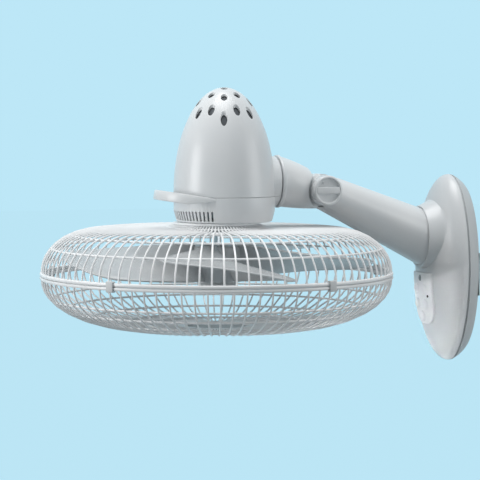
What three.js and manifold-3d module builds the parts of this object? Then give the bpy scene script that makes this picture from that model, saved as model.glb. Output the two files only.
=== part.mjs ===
// Wall fan, shown with its head folded down. A steel bracket on the wall carries a domed base,
// an arm slopes up out of it, a neck tilts on the arm's forked end, and the motor head with its
// wire cage swings on the neck. Millimetres, +Z up; the wall is the plane y = 0, the front is -Y.
import * as THREE from 'three';
import { mergeVertices } from 'three/addons/utils/BufferGeometryUtils.js';
import Module from 'manifold-3d';

const wasm = await Module();
wasm.setup();

// ---------------------------------------------------------------- driving dimensions
const touch = 0.3; // gap kept between faces that meet
const running = 0.5; // gap kept around parts that turn or slide
const wideSides = 28; // facets round the large visible forms
const midSides = 16;
const fewSides = 8;
const hiddenSides = 14; // round forms inside the housing

// wall bracket
const bracketWidth = 112;
const bracketHeight = 54;
const bracketThickness = 2.5;
const bracketDrop = 6; // its middle below the middle of the base
const wallScrewSpacing = 84;
const wallScrewHole = 6;
const hookSpacing = 52;
const hookWidth = 12;
const hookRise = 8;
const hookReach = 6; // how far the hooks stand off the bracket

// base: a tray against the wall and a domed shell on it
const baseHalfWidth = 65;
const baseHalfHeight = 120;
const baseWall = 2.5;
const trayDepth = 19;
const trayInset = 11; // the tray's back is this much smaller all round
const domeDepth = 36;

// control panel and its buttons
const panelHalfWidth = 27;
const panelTop = -6;
const panelBottom = -72;
const panelThickness = 3;
const panelCorner = 12;
const panelLip = 3; // how far the panel laps over the shell's opening
const buttonRadius = 6.5;
const buttonRise = 2.2; // cap above the panel
const buttonTravel = 1.5;
const buttonPitchX = 22;
const buttonPitchZ = 19;
const buttonTopRow = -27;
const windowRadius = 4;
const windowZ = -13;
const windowDepth = 8;
const boardThickness = 1.6;
const boardHalfWidth = 22;
const boardPostRadius = 3;
const switchHalfWidth = 3;
const switchHeight = 5;

// arm, its foot inside the base and its forked end
const tiltY = -199.5;
const tiltZ = 102;
const armRootY = -72;
const armRootZ = 46;
const armTipRadius = 22;
const armRootRadius = 33;
const footY = -22; // back face of the foot
const footThickness = 4;
const footLugGap = 8; // from the arm's root to a foot screw
const footLugLift = 12;
const footLugRadius = 8;
const footScrewRadius = 2.2;
const screwHeadRadius = 4;
const screwHeadHeight = 2.2;
const tongueWidth = 26;
const tongueRadius = 20;
const tiltRange = 90;
const boltRadius = 4;
const boltHeadRadius = 7.5;
const boltHeadHeight = 5;
const knobRadius = 18.7;
const knobThickness = 13;
const knobGripHeight = 3;

// neck and the swing joint
const swingZ = 113;
const flangeY = -257;
const flangeRadius = 33;
const flangeThickness = 4;
const flangeGap = 4; // between the flange and the housing
const neckEndTop = [-217, 130.5];
const neckEndBottom = [-203.5, 78.2];
const neckEndHalfWidth = 25;
const spindleRadius = 8;
const spindleSeat = 16; // length held in the neck
const bushWall = 2.5;
const swingWasherThickness = 1.5;

// swing gears
const gearModule = 2;
const pinionTeeth = 12;
const sectorTeeth = 36; // of the full circle
const sectorHalfAngle = 58;
const gearThickness = 4;
const toothBacklash = 0.5;
const gearRoom = 6.7; // from the motor's shields to the gears

// motor head
const shaftY = -334;
const housingRadius = 63;
const housingWall = 2.5;
const seamZ = 95.5;
const bulletBase = 101; // where the tail starts to round off
const bulletTip = 230;
const ventRadius = 4.3;
const ventPitch = 17.8;
const ventField = 48; // radius of the vented area
const ventTurn = -18; // the rows run this way round
const coverBottom = 64;
const coverTaperZ = 78;
const coverTaper = 3.5;
const slotCount = 9;
const slotPitch = 6.8;
const slotWidth = 3.4;
const handleReach = 27.5; // its outside in front of the housing
const handleMergeAngle = 27.4; // where it leaves the housing, from the side
const handleHeight = 12;
const handleWall = 4.5;
const handleLift = 9.5; // degrees

// motor
const coreShare = 0.6; // of the housing's radius, for the motor's core
const statorThickness = 24;
const coreDepth = 15; // of the core, from the rotor to its outside
const airGap = 0.6;
const coilThickness = 8;
const shieldWall = 3;
const shieldGrip = 8; // how far a shield reaches over the stator
const earRadius = 6;
const motorScrewRadius = 2;
const spigotRadius = 20;
const shaftRadius = 4;
const bearingRadius = 9;
const bearingLength = 10;
const coverFloor = 2.5;
const capacitorWidth = 34;
const capacitorDepth = 16;
const capacitorHeight = 28;
const plateInset = 14; // the swing motor's bracket is this much inside the core's radius
const plateThickness = 4;
const swingMotorRadius = 23;
const swingMotorLength = 16;
const swingMotorGap = 12; // from the gears to the plate in front of it
const noseRadius = 6;
const pinionShaftRadius = 3;

// cage
const cageRadius = 219;
const rimHeight = 6;
const rimThickness = 4.4;
const rimZ = -2; // where the two rims meet
const rearTopZ = 55;
const rearFlatRadius = 150;
const frontBottomZ = -66;
const frontFlatRadius = 100;
const wireCount = 25; // a multiple of the clips, which sit between wires
const wireWidth = 2.4;
const ringWidth = 2.6;
const hubPlateRadius = 54;
const hubPlateThickness = 2.4;
const badgeRadius = 48;
const badgeThickness = 4;
const nutRadius = 30;
const nutThickness = 10;
const nutFlutes = 8;
const clipWidth = 10;
const clipWall = 1.6;
const clipTurn = 20.5; // degrees, of the first clip
const clipCount = 5;

// blades
const bladeCount = 5;
const bladeRadius = 195;
const bladeRootRadius = 28;
const bladeThickness = 2;
const bladeHubRadius = 30;
const bladeHubTop = 34;
const bladeHubDepth = 44;
const bladePitchHeight = 46;
const spinnerRadius = 24;
const spinnerDepth = 15;
const pinRadius = 2;
const pinHalfLength = 11;
const pinDepth = 5; // below the top of the blades' hub

// ---------------------------------------------------------------- places worked out from these
const armSlope = Math.atan2(tiltZ - armRootZ, armRootY - tiltY);
const ridgeY = -(bracketThickness + trayDepth);
const trayBackY = -bracketThickness;
const trayFloorY = trayBackY - baseWall;
const coverBottomRadius = housingRadius - coverTaper;
const housingY = flangeY - flangeGap - housingRadius;
const housingShift = housingY - shaftY; // the housing's axis is nearer the wall than the shaft
const barrelRadius = armTipRadius;
const armLength = Math.hypot(armRootY - tiltY, armRootZ - tiltZ);
const armWidening = (armRootRadius - armTipRadius) / armLength; // per millimetre of its length
const knobSeatX = armTipRadius + knobRadius * armWidening + touch;
const gearCentres = gearModule * (pinionTeeth + sectorTeeth) / 2;
const pinionZ = swingZ + gearCentres;
const statorZ = 80; // lower face of the core
const statorRadius = housingRadius * coreShare;
const rotorRadius = statorRadius - coreDepth;
const shieldRadius = statorRadius + touch + shieldWall;
const plateHalfWidth = statorRadius - plateInset;
const gearBackY = shaftY + shieldRadius + gearRoom;
const gearFrontY = gearBackY + gearThickness;
const statorTop = statorZ + statorThickness;
const hubPlateTop = coverBottom - touch;
const hubPlateZ = hubPlateTop - hubPlateThickness / 2;
const nutTop = hubPlateTop - hubPlateThickness - touch;

// ---------------------------------------------------------------- materials
function plastic(color, roughness = 0.45) {
  return new THREE.MeshStandardMaterial({ color, roughness, metalness: 0 });
}

function metal(color, roughness = 0.35) {
  return new THREE.MeshStandardMaterial({ color, roughness, metalness: 1 });
}

const paleGrey = plastic('#c9ccce');
const deepGrey = plastic('#a9acad', 0.5);
const gripGrey = plastic('#b7babb');
const wireWhite = plastic('#dcdee0', 0.35);
const bladeWhite = plastic('#e4e6e6', 0.3);
const steel = metal('#b8babd');
const zincSteel = metal('#c6c4b8', 0.4);
const castAlloy = metal('#9fa2a4', 0.5);
const laminations = metal('#6d7072', 0.6);
const copper = metal('#b4703c', 0.4);
const bronze = metal('#a5824a', 0.45);
const boardGreen = plastic('#2f5f43', 0.6);
const darkPlastic = plastic('#2d3033', 0.4);

// ---------------------------------------------------------------- shape helpers
const rad = THREE.MathUtils.degToRad;

// Keeps positions only, shares vertices, drops empty triangles and turns the faces outward.
function clean(geometry) {
  const copy = geometry.clone();
  copy.deleteAttribute('normal');
  copy.deleteAttribute('uv');
  const merged = mergeVertices(copy, 1e-4);
  const p = merged.attributes.position;
  const corners = merged.index.array;
  const kept = [];
  const [a, b, c] = [new THREE.Vector3(), new THREE.Vector3(), new THREE.Vector3()];
  let volume = 0;
  for (let i = 0; i < corners.length; i += 3) {
    const [u, v, w] = corners.slice(i, i + 3);
    if (u === v || v === w || w === u) continue;
    kept.push(u, v, w);
    a.fromBufferAttribute(p, u);
    b.fromBufferAttribute(p, v);
    c.fromBufferAttribute(p, w);
    volume += a.dot(b.cross(c));
  }
  if (volume < 0) kept.reverse();
  merged.setIndex(kept);
  return merged;
}

function solid(geometry) {
  const { attributes, index } = clean(geometry);
  const vertProperties = new Float32Array(attributes.position.array);
  const triVerts = new Uint32Array(index.array);
  return new wasm.Manifold(new wasm.Mesh({ numProp: 3, vertProperties, triVerts }));
}

function geometryOf(body) {
  const { vertProperties, triVerts } = body.getMesh();
  const geometry = new THREE.BufferGeometry();
  geometry.setAttribute('position', new THREE.BufferAttribute(vertProperties, 3));
  geometry.setIndex(new THREE.BufferAttribute(triVerts, 1));
  geometry.computeVertexNormals();
  return geometry;
}

function joined(...bodies) {
  return bodies.reduce((sum, body) => sum.add(body));
}

function drilled(body, ...tools) {
  return tools.reduce((rest, tool) => rest.subtract(tool), body);
}

// A round bar along x, y or z; `at` gives its place on the other two axes, in x, y, z order.
function rod(axis, radius, from, to, at = [0, 0], sides = midSides, endRadius = radius) {
  const g = new THREE.CylinderGeometry(endRadius, radius, to - from, sides);
  g.translate(0, (from + to) / 2, 0);
  if (axis === 'x') g.rotateZ(-Math.PI / 2).translate(0, at[0], at[1]);
  if (axis === 'y') g.translate(at[0], 0, at[1]);
  if (axis === 'z') g.rotateX(Math.PI / 2).translate(at[0], at[1], 0);
  return solid(g);
}

function block(x0, x1, y0, y1, z0, z1) {
  const g = new THREE.BoxGeometry(x1 - x0, y1 - y0, z1 - z0);
  return solid(g.translate((x0 + x1) / 2, (y0 + y1) / 2, (z0 + z1) / 2));
}

// A flat outline pushed along an axis: its own x and y become y, z for 'x' and x, z for 'y'.
function prism(shape, axis, from, to, curveSegments = 4) {
  const settings = { depth: to - from, bevelEnabled: false, curveSegments };
  const g = new THREE.ExtrudeGeometry(shape, settings);
  const [ex, ey, ez] = [[1, 0, 0], [0, 1, 0], [0, 0, 1]].map((v) => new THREE.Vector3(...v));
  if (axis === 'x') g.applyMatrix4(new THREE.Matrix4().makeBasis(ey, ez, ex)).translate(from, 0, 0);
  if (axis === 'y') {
    g.applyMatrix4(new THREE.Matrix4().makeBasis(ex, ez, ey.negate())).translate(0, to, 0);
  }
  if (axis === 'z') g.translate(0, 0, from);
  return solid(g);
}

// A profile of [radius, z] pairs turned round the z axis.
function turned(profile, sides = wideSides) {
  const g = new THREE.LatheGeometry(profile.map(([r, z]) => new THREE.Vector2(r, z)), sides);
  return solid(g.rotateX(Math.PI / 2));
}

function outline(points) {
  return new THREE.Shape(points.map(([x, y]) => new THREE.Vector2(x, y)));
}

// A skin over rings of equally many points, closed at both ends.
function loft(rings) {
  const n = rings[0].length;
  const points = rings.flat();
  const faces = [];
  for (let i = 0; i + 1 < rings.length; i += 1) {
    for (let j = 0; j < n; j += 1) {
      const [a, b] = [i * n + j, i * n + (j + 1) % n];
      faces.push(a, b, b + n, a, b + n, a + n);
    }
  }
  const last = (rings.length - 1) * n;
  for (let j = 1; j + 1 < n; j += 1) {
    faces.push(0, j + 1, j, last, last + j, last + j + 1);
  }
  return solid(meshOf(points, faces));
}

function meshOf(points, faces) {
  const g = new THREE.BufferGeometry().setFromPoints(points);
  return g.setIndex(faces);
}

// An upright ring across y: an ellipse with half axes `a` along x and `c` along z.
function ovalRing(a, c, y, sides = wideSides) {
  return Array.from({ length: sides }, (_, i) => {
    const t = (2 * Math.PI * i) / sides;
    return new THREE.Vector3(a * Math.cos(t), y, c * Math.sin(t));
  });
}

const wallFan = new THREE.Group();
const neckPieces = new THREE.Group();
const headPieces = new THREE.Group();
const rotorPieces = new THREE.Group();
headPieces.position.set(0, shaftY, 0);
headPieces.add(rotorPieces);
neckPieces.add(headPieces);
wallFan.add(neckPieces);

function place(group, name, body, material) {
  const mesh = new THREE.Mesh(geometryOf(body), material);
  mesh.name = name;
  group.add(mesh);
}

// ---------------------------------------------------------------- wall bracket
function wallBracket() {
  const [w, t] = [bracketWidth / 2, bracketThickness];
  const middle = -bracketDrop;
  const [low, high] = [middle - bracketHeight / 2, middle + bracketHeight / 2];
  let plate = block(-w, w, -t, 0, low, high);
  for (const side of [-1, 1]) {
    const x = (side * wallScrewSpacing) / 2;
    plate = drilled(plate, rod('y', wallScrewHole / 2, -t - 1, 1, [x, middle], fewSides));
    const [x0, x1] = [(side * hookSpacing - hookWidth) / 2, (side * hookSpacing + hookWidth) / 2];
    const hook = joined(
      block(x0, x1, -t - hookReach, -t + 1, high - t, high),
      block(x0, x1, -t - hookReach, -t - hookReach + t, high - t, high + hookRise),
    );
    plate = joined(plate, hook);
  }
  return plate;
}

// ---------------------------------------------------------------- base
function hookSlots(clearance) {
  const high = bracketHeight / 2 - bracketDrop;
  return [-1, 1].map((side) => {
    const x = (side * hookSpacing) / 2;
    const half = hookWidth / 2 + clearance;
    const [z0, z1] = [high - bracketThickness - clearance, high + clearance];
    return block(x - half, x + half, trayFloorY - 1, trayBackY + 1, z0, z1);
  });
}

const shellScrewZ = baseHalfHeight - 28;
const footLugX = armRootRadius + footLugGap;
const shellScrewSeatY = -12; // floor of the pocket for a shell screw's head
const footZ = armRootZ - (footY - armRootY) * Math.tan(armSlope);
const footLugs = [-1, 1].map((side) => [side * footLugX, footZ + footLugLift]);

function basePlate() {
  const inner = baseWall;
  const [a, c] = [baseHalfWidth, baseHalfHeight];
  const [ab, cb] = [a - trayInset * 0.75, c - trayInset];
  let tray = loft([
    ovalRing(ab * 0.97, cb * 0.97, trayBackY),
    ovalRing(ab, cb, trayBackY - 3),
    ovalRing(a, c, ridgeY + touch),
    ovalRing(a - inner, c - inner, ridgeY + touch),
    ovalRing(ab - inner, cb - inner, trayFloorY),
  ]);
  for (const [x, z] of footLugs) {
    tray = joined(tray, rod('y', footLugRadius - 1, footY + touch, trayFloorY + 1, [x, z], fewSides));
  }
  for (const side of [-1, 1]) {
    const at = [0, side * shellScrewZ];
    tray = joined(tray, rod('y', 6, ridgeY, trayFloorY + 1, at, fewSides));
    tray = drilled(
      tray,
      rod('y', footScrewRadius + touch, ridgeY - 1, trayBackY + 1, at, fewSides),
      rod('y', screwHeadRadius + touch, shellScrewSeatY, trayBackY + 1, at, fewSides),
    );
  }
  for (const at of footLugs) {
    tray = drilled(tray, rod('y', footScrewRadius + touch, footY - 1, trayFloorY - 1, at, fewSides));
  }
  const cordHole = rod('z', 5, -cb - 12, -cb + 12, [0, (trayFloorY + ridgeY) / 2], fewSides);
  return drilled(tray, ...hookSlots(touch), cordHole);
}

function domeRings(offset, steps = 5) {
  const [a, c, d] = [baseHalfWidth + offset, baseHalfHeight + offset, domeDepth + offset];
  return Array.from({ length: steps }, (_, i) => {
    const t = rad(90 - 84 * (i / (steps - 1)));
    const angle = Math.PI / 2 - t;
    return ovalRing(a * Math.cos(angle), c * Math.cos(angle), ridgeY - d * Math.sin(angle));
  });
}

function buttonPlaces() {
  const columns = [-1, 1].map((side) => (side * buttonPitchX) / 2);
  const rows = [buttonTopRow, buttonTopRow - buttonPitchZ];
  return [
    ...rows.flatMap((z) => columns.map((x) => [x, z])),
    [0, buttonTopRow - 2 * buttonPitchZ + 3],
  ];
}

function buttonHoles(radius) {
  const holes = buttonPlaces().map((at) => rod('y', radius, -90, ridgeY, at, fewSides));
  return [...holes, rod('y', windowRadius + touch, -90, ridgeY, [0, windowZ], fewSides)];
}

function armCone(growth, from, to) {
  const g = new THREE.CylinderGeometry(
    armTipRadius + growth + armWidening * to,
    armTipRadius + growth + armWidening * from,
    to - from, wideSides - 4,
  );
  g.translate(0, (from + to) / 2, 0);
  g.rotateX(-armSlope).translate(0, tiltY, tiltZ);
  return solid(g);
}

function baseShell() {
  const skin = loft([...domeRings(0).reverse(), ...domeRings(-baseWall)]);
  const posts = [-1, 1].map((side) => rod(
    'y', 6, ridgeY - domeDepth * 0.6, ridgeY - touch, [0, side * shellScrewZ], 16,
  ));
  const inside = loft(domeRings(-baseWall / 2));
  const bosses = posts.map((post) => post.intersect(inside));
  const screwHoles = [-1, 1].map((side) => rod(
    'y', footScrewRadius + touch, ridgeY - 13, ridgeY + 1, [0, side * shellScrewZ], fewSides,
  ));
  const armHole = armCone(touch, 60, 260);
  const panelHole = prism(panelOutline(panelLip), 'y', -90, ridgeY - 3);
  return drilled(joined(skin, ...bosses), armHole, panelHole, ...screwHoles);
}

// ---------------------------------------------------------------- control panel
function panelOutline(inset = 0) {
  const [w, top, low] = [panelHalfWidth - inset, panelTop - inset, panelBottom + inset];
  const corner = panelCorner - inset;
  const shape = new THREE.Shape();
  shape.moveTo(-w + 4, top);
  shape.lineTo(-w, top - 4);
  shape.lineTo(-w + 4, low + 2 * corner);
  shape.quadraticCurveTo(-w + 6, low, 0, low);
  shape.quadraticCurveTo(w - 6, low, w - 4, low + 2 * corner);
  shape.lineTo(w, top - 4);
  shape.lineTo(w - 4, top);
  return shape;
}

function controlPanel() {
  const outer = loft(domeRings(touch + panelThickness));
  const inner = loft(domeRings(touch));
  const column = prism(panelOutline(), 'y', -90, ridgeY - 6, 5);
  return drilled(outer.intersect(column), inner, ...buttonHoles(buttonRadius + running / 2));
}

function domeSurface(x, z) {
  const [a, c, d] = [baseHalfWidth, baseHalfHeight, domeDepth];
  return ridgeY - d * Math.sqrt(1 - (x / a) ** 2 - (z / c) ** 2);
}

const boardFrontY = ridgeY - 6;
const switchTopY = boardFrontY - switchHeight;

function controlButton([x, z]) {
  const capY = domeSurface(x, z) - panelThickness - touch - buttonRise;
  const collarY = switchTopY - running - buttonTravel;
  const cap = rod('y', buttonRadius, capY, collarY, [x, z], fewSides);
  const crown = rod('y', buttonRadius - 1.2, capY - 1, capY, [x, z], fewSides, buttonRadius);
  const collar = rod('y', buttonRadius + 1.5, collarY - 1.5, collarY, [x, z], fewSides);
  return joined(cap, crown, collar);
}

function receiverWindow() {
  const front = domeSurface(0, windowZ) - panelThickness - touch - 0.6;
  return rod('y', windowRadius, front, front + windowDepth, [0, windowZ], fewSides);
}

function controlBoard() {
  const [low, high] = [panelBottom + 8, windowZ - 6];
  const [half, s] = [boardHalfWidth, switchHalfWidth];
  let board = block(-half, half, boardFrontY, boardFrontY + boardThickness, low, high);
  for (const [x, z] of buttonPlaces()) {
    board = joined(board, block(x - s, x + s, switchTopY, boardFrontY + 0.5, z - s, z + s));
  }
  const [front, back] = [boardFrontY + boardThickness / 3, trayFloorY - touch];
  const post = (x, z) => rod('y', boardPostRadius, front, back, [x, z], fewSides);
  return joined(board, post(5 - half, low + 6), post(half - 5, low + 6), post(0, high - boardPostRadius));
}

// ---------------------------------------------------------------- arm
function wedge(fromAngle, toAngle, x0, x1) {
  const reach = 400;
  const points = [[tiltY, tiltZ]];
  const steps = 4;
  for (let i = 0; i <= steps; i += 1) {
    const t = rad(fromAngle + ((toAngle - fromAngle) * i) / steps);
    points.push([tiltY + reach * Math.cos(t), tiltZ + reach * Math.sin(t)]);
  }
  return prism(outline(points), 'x', x0, x1);
}

const shoulderAngle = 120 - tiltRange; // the arm's full section starts here
const chinAngle = -97;

function arm() {
  const wide = 60;
  const barrel = rod('x', barrelRadius, -wide, wide, [tiltY, tiltZ], midSides);
  const body = armCone(0, -armTipRadius - 6, 240);
  const full = body.intersect(wedge(chinAngle, shoulderAngle, -wide, wide));
  const cheeks = body.intersect(barrel);
  const bossRadius = knobRadius;
  const boss = (x0, x1) => rod('x', bossRadius, x0, x1, [tiltY, tiltZ], midSides);
  const bosses = joined(boss(tongueWidth / 2 + 1, knobSeatX), boss(-knobSeatX, -tongueWidth / 2 - 1));
  const half = tongueWidth / 2 + running;
  const slot = joined(
    rod('x', tongueRadius + 1.4, -half, half, [tiltY, tiltZ], midSides),
    wedge(shoulderAngle, 360 + chinAngle, -half, half),
  );
  const trunk = drilled(joined(full, cheeks, bosses), slot, block(-80, 80, footY, 60, -120, 160));
  const feet = footLugs.map((at) => rod('y', footLugRadius, footY - footThickness, footY, at, fewSides));
  const lugZ = footZ + footLugLift;
  const bar = block(-footLugX, footLugX, footY - footThickness, footY, lugZ - footLugRadius, lugZ + footLugRadius);
  const foot = joined(
    rod('y', armRootRadius + 3, footY - footThickness, footY, [0, footZ], midSides),
    bar,
    ...feet,
  );
  const inside = loft(domeRings(-baseWall - touch));
  const holes = footLugs.map((at) => rod('y', footScrewRadius + touch, footY - 9, footY + 1, at, fewSides));
  const boltHole = rod('x', boltRadius + touch, -wide, wide, [tiltY, tiltZ], fewSides);
  const headPocket = rod('x', boltHeadRadius + touch, -knobSeatX - 1, -knobSeatX + 2.5, [tiltY, tiltZ], 6);
  return drilled(joined(trunk, foot.intersect(inside)), boltHole, headPocket, ...holes);
}

// A pan-head screw along y: the underside of its head at `seatY`, its point at `tipY`.
function screwY(seatY, tipY, at) {
  const toward = Math.sign(tipY - seatY);
  const [h0, h1] = [seatY - toward * screwHeadHeight, seatY].sort((a, b) => a - b);
  const [s0, s1] = [seatY - toward, tipY].sort((a, b) => a - b);
  return joined(
    rod('y', screwHeadRadius, h0, h1, at, fewSides),
    rod('y', footScrewRadius, s0, s1, at, fewSides),
  );
}

function armScrew(at) {
  return screwY(footY - footThickness - touch, trayFloorY - 3, at);
}

function shellScrew(side) {
  return screwY(shellScrewSeatY + touch, ridgeY - 11, [0, side * shellScrewZ]);
}

// ---------------------------------------------------------------- tilt joint
function tiltBolt() {
  const at = [tiltY, tiltZ];
  const headX = -knobSeatX + 2.5 - touch;
  return joined(
    rod('x', boltHeadRadius, headX - boltHeadHeight, headX, at, 6),
    rod('x', boltRadius, headX - 1, knobSeatX + knobThickness - 4, at, fewSides),
  );
}

function tiltKnob() {
  const at = [tiltY, tiltZ];
  const [x0, x1] = [knobSeatX + touch, knobSeatX + touch + knobThickness];
  const dish = joined(
    rod('x', knobRadius, x0, x1 - 1.5, at, wideSides),
    rod('x', knobRadius, x1 - 1.5, x1, at, wideSides, knobRadius - 1.5),
  );
  const recess = rod('x', knobRadius - 3.2, x1 - knobGripHeight, x1 + 1, at, wideSides);
  const [half, y] = [4.2, tiltY];
  const grip = block(x1 - knobGripHeight - 1, x1 - 0.4, y - 17, y + 17, tiltZ - half, tiltZ + half);
  const disc = rod('x', knobRadius - 1.6, x0, x1 + 5, at, wideSides);
  const bore = rod('x', boltRadius + touch, x0 - 1, x1 - 4 + touch, at, fewSides);
  return drilled(joined(drilled(dish, recess), grip.intersect(disc)), bore);
}

// ---------------------------------------------------------------- neck
function neckSection([topY, topZ], [lowY, lowZ], halfWidth, sides = 28) {
  return Array.from({ length: sides }, (_, i) => {
    const t = (2 * Math.PI * i) / sides;
    const s = Math.sin(t) / 2;
    return new THREE.Vector3(
      halfWidth * Math.cos(t),
      (topY + lowY) / 2 + (topY - lowY) * s,
      (topZ + lowZ) / 2 + (topZ - lowZ) * s,
    );
  });
}

function neck() {
  const flangeSection = (y, r) => neckSection([y, swingZ + r], [y, swingZ - r], r);
  const behind = flangeY + flangeThickness;
  const rim = flangeRadius;
  const middleTop = [(behind + neckEndTop[0]) / 2 + 1, (swingZ + rim + neckEndTop[1]) / 2];
  const middleLow = [(behind + neckEndBottom[0]) / 2, (swingZ - rim + neckEndBottom[1]) / 2 - 0.2];
  const elbow = loft([
    flangeSection(flangeY, rim - 0.8),
    flangeSection(flangeY + 0.8, rim),
    flangeSection(behind, rim),
    flangeSection(behind + 0.6, rim - 1.2),
    neckSection(middleTop, middleLow, (rim + neckEndHalfWidth) / 2 + 0.5),
    neckSection(neckEndTop, neckEndBottom, neckEndHalfWidth),
  ]);
  const [half, wide] = [tongueWidth / 2, 60];
  const around = (x0, x1) => rod('x', barrelRadius + 1, x0, x1, [tiltY, tiltZ], midSides);
  const tongue = rod('x', tongueRadius, -half, half, [tiltY, tiltZ], midSides);
  const boltHole = rod('x', boltRadius + touch, -wide, wide, [tiltY, tiltZ], fewSides);
  const seat = rod('y', spindleRadius + touch, flangeY - 1, flangeY + spindleSeat + touch, [0, swingZ], hiddenSides);
  return drilled(joined(drilled(elbow, around(half, wide), around(-wide, -half)), tongue), boltHole, seat);
}

// The spindle is fixed in the neck; the head's boss turns on it.
const bossEndY = flangeY - touch - swingWasherThickness - touch;

function swingSpindle() {
  const inner = gearBackY - 3.5;
  const shank = rod('y', spindleRadius, gearFrontY + touch, flangeY + spindleSeat, [0, swingZ], hiddenSides);
  const tail = rod('y', spindleRadius - 2.5, inner, gearFrontY + 1, [0, swingZ], hiddenSides);
  return joined(shank, tail);
}

function swingWasher() {
  const y = flangeY - touch;
  const ring = rod('y', 20, y - swingWasherThickness, y, [0, swingZ], hiddenSides);
  return drilled(ring, rod('y', spindleRadius + touch, y - 5, y + 5, [0, swingZ], hiddenSides));
}

function spindleClip() {
  const y = gearBackY - touch;
  const ring = rod('y', 11, y - 1.5, y, [0, swingZ], hiddenSides);
  return drilled(ring, rod('y', spindleRadius - 2.5 + touch, y - 5, y + 5, [0, swingZ], hiddenSides));
}

// Tooth corners of a straight-flanked gear, tooth `i` of `teeth`, as [radius, angle] pairs.
function tooth(teeth, i) {
  const pitch = (gearModule * teeth) / 2;
  const step = (2 * Math.PI) / teeth;
  const middle = i * step;
  const half = (gearModule * Math.PI / 4 - toothBacklash / 2) / pitch;
  const lean = Math.tan(rad(20)) / pitch;
  const [root, tip] = [pitch - 1.2 * gearModule, pitch + 0.8 * gearModule];
  const rootHalf = half + 1.0 * gearModule * lean;
  const tipHalf = half - 0.8 * gearModule * lean * 1.25;
  return [
    [root, middle - rootHalf], [tip, middle - tipHalf], [tip, middle + tipHalf], [root, middle + rootHalf],
  ];
}

function polar(pairs, phase) {
  return pairs.map(([r, a]) => [r * Math.sin(a + phase), r * Math.cos(a + phase)]);
}

function swingSector() {
  const step = 360 / sectorTeeth;
  const count = Math.floor(sectorHalfAngle / step);
  const pairs = [];
  for (let i = -count; i <= count; i += 1) pairs.push(...tooth(sectorTeeth, i));
  const edge = rad(count * step + step / 2);
  const hub = spindleRadius + 4;
  const fan = outline([...polar(pairs, 0), ...polar([[hub, edge + 0.5], [hub, -edge - 0.5]], 0)]);
  const plate = prism(fan, 'y', gearBackY, gearFrontY).translate([0, 0, swingZ]);
  const boss = rod('y', hub + 2, gearBackY, gearFrontY, [0, swingZ], midSides);
  const bore = rod('y', spindleRadius - 2.5 + touch, gearBackY - 1, gearFrontY + 1, [0, swingZ], midSides);
  return drilled(joined(plate, boss), bore);
}

function swingPinion() {
  const pairs = [];
  for (let i = 0; i < pinionTeeth; i += 1) pairs.push(...tooth(pinionTeeth, i));
  const halfTooth = Math.PI / pinionTeeth;
  const wheel = prism(outline(polar(pairs, halfTooth)), 'y', gearBackY, gearFrontY);
  const hub = rod('y', 5, gearBackY - 6, gearBackY + 1, [0, 0], fewSides);
  const bore = rod('y', pinionShaftRadius + touch, gearBackY - 8, gearFrontY + 1, [0, 0], fewSides);
  return drilled(joined(wheel, hub), bore).translate([0, -shaftY, pinionZ]);
}

// ---------------------------------------------------------------- motor head, around the shaft
const local = (y) => y - shaftY; // a place along y, seen from the shaft
const bossRadius = 22;

function housingProfile(offset) {
  const [r, tip] = [housingRadius + offset, bulletTip + offset];
  const steps = 6;
  const rounded = Array.from({ length: steps + 1 }, (_, i) => {
    const t = (Math.PI / 2) * (i / steps) ** 0.9;
    return [r * Math.cos(t), bulletBase + (tip - bulletBase) * Math.sin(t)];
  });
  rounded[steps][0] = 0;
  return rounded;
}

function ventPlaces() {
  const places = [];
  const rows = 3;
  const [across, turn] = [ventPitch * Math.cos(rad(30)), rad(ventTurn)];
  for (let column = -rows; column <= rows; column += 1) {
    for (let row = -rows; row <= rows; row += 1) {
      const u = column * across;
      const w = (row + (column % 2 === 0 ? 0.5 : 0)) * ventPitch;
      if (Math.hypot(u, w) > ventField) continue;
      places.push([
        w * Math.cos(turn) - u * Math.sin(turn),
        housingShift + w * Math.sin(turn) + u * Math.cos(turn),
      ]);
    }
  }
  return places;
}

function swingBossHole(radius) {
  return rod('y', radius, local(housingY), local(flangeY), [0, swingZ], midSides);
}

function rearCover() {
  const outer = turned([[0, seamZ], [housingRadius, seamZ], ...housingProfile(0)]);
  const inner = turned(
    [[0, seamZ - 1], [housingRadius - housingWall, seamZ - 1], ...housingProfile(-housingWall)],
  );
  const cup = drilled(outer, inner).translate([0, housingShift, 0]);
  const vents = ventPlaces().map((at) => rod('z', ventRadius, bulletBase + 4, bulletTip + 5, at, 6));
  return drilled(cup, ...vents, swingBossHole(bossRadius + running));
}

function frontCover() {
  const [r, rb, w] = [housingRadius, coverBottomRadius, housingWall];
  const top = seamZ - touch;
  const cup = turned([
    [spigotRadius + touch, coverBottom], [rb - 2, coverBottom], [rb, coverBottom + 1.5], [r, coverTaperZ],
    [r, top], [r - w, top], [r - w, coverTaperZ], [rb - w, coverBottom + coverFloor],
    [spigotRadius + touch, coverBottom + coverFloor], [spigotRadius + touch, coverBottom],
  ], wideSides).translate([0, housingShift, 0]);
  const floorHole = rod('z', spigotRadius + touch, coverBottom - 1, coverBottom + 5, [0, 0], hiddenSides);
  const floorFill = rod('z', spigotRadius + 14, coverBottom, coverBottom + coverFloor, [0, 0], midSides);
  const plate = drilled(joined(cup, floorFill), floorHole);
  const slots = Array.from({ length: slotCount }, (_, i) => {
    const angle = ((i - (slotCount - 1) / 2) * slotPitch) / rb;
    const cutter = new THREE.BoxGeometry(slotWidth, 24, 11);
    cutter.translate(0, -rb, coverBottom + 8).rotateZ(angle).translate(0, housingShift, 0);
    return solid(cutter);
  });
  return drilled(joined(plate, carryHandle()), ...slots, swingBossHole(bossRadius + running));
}

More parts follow.
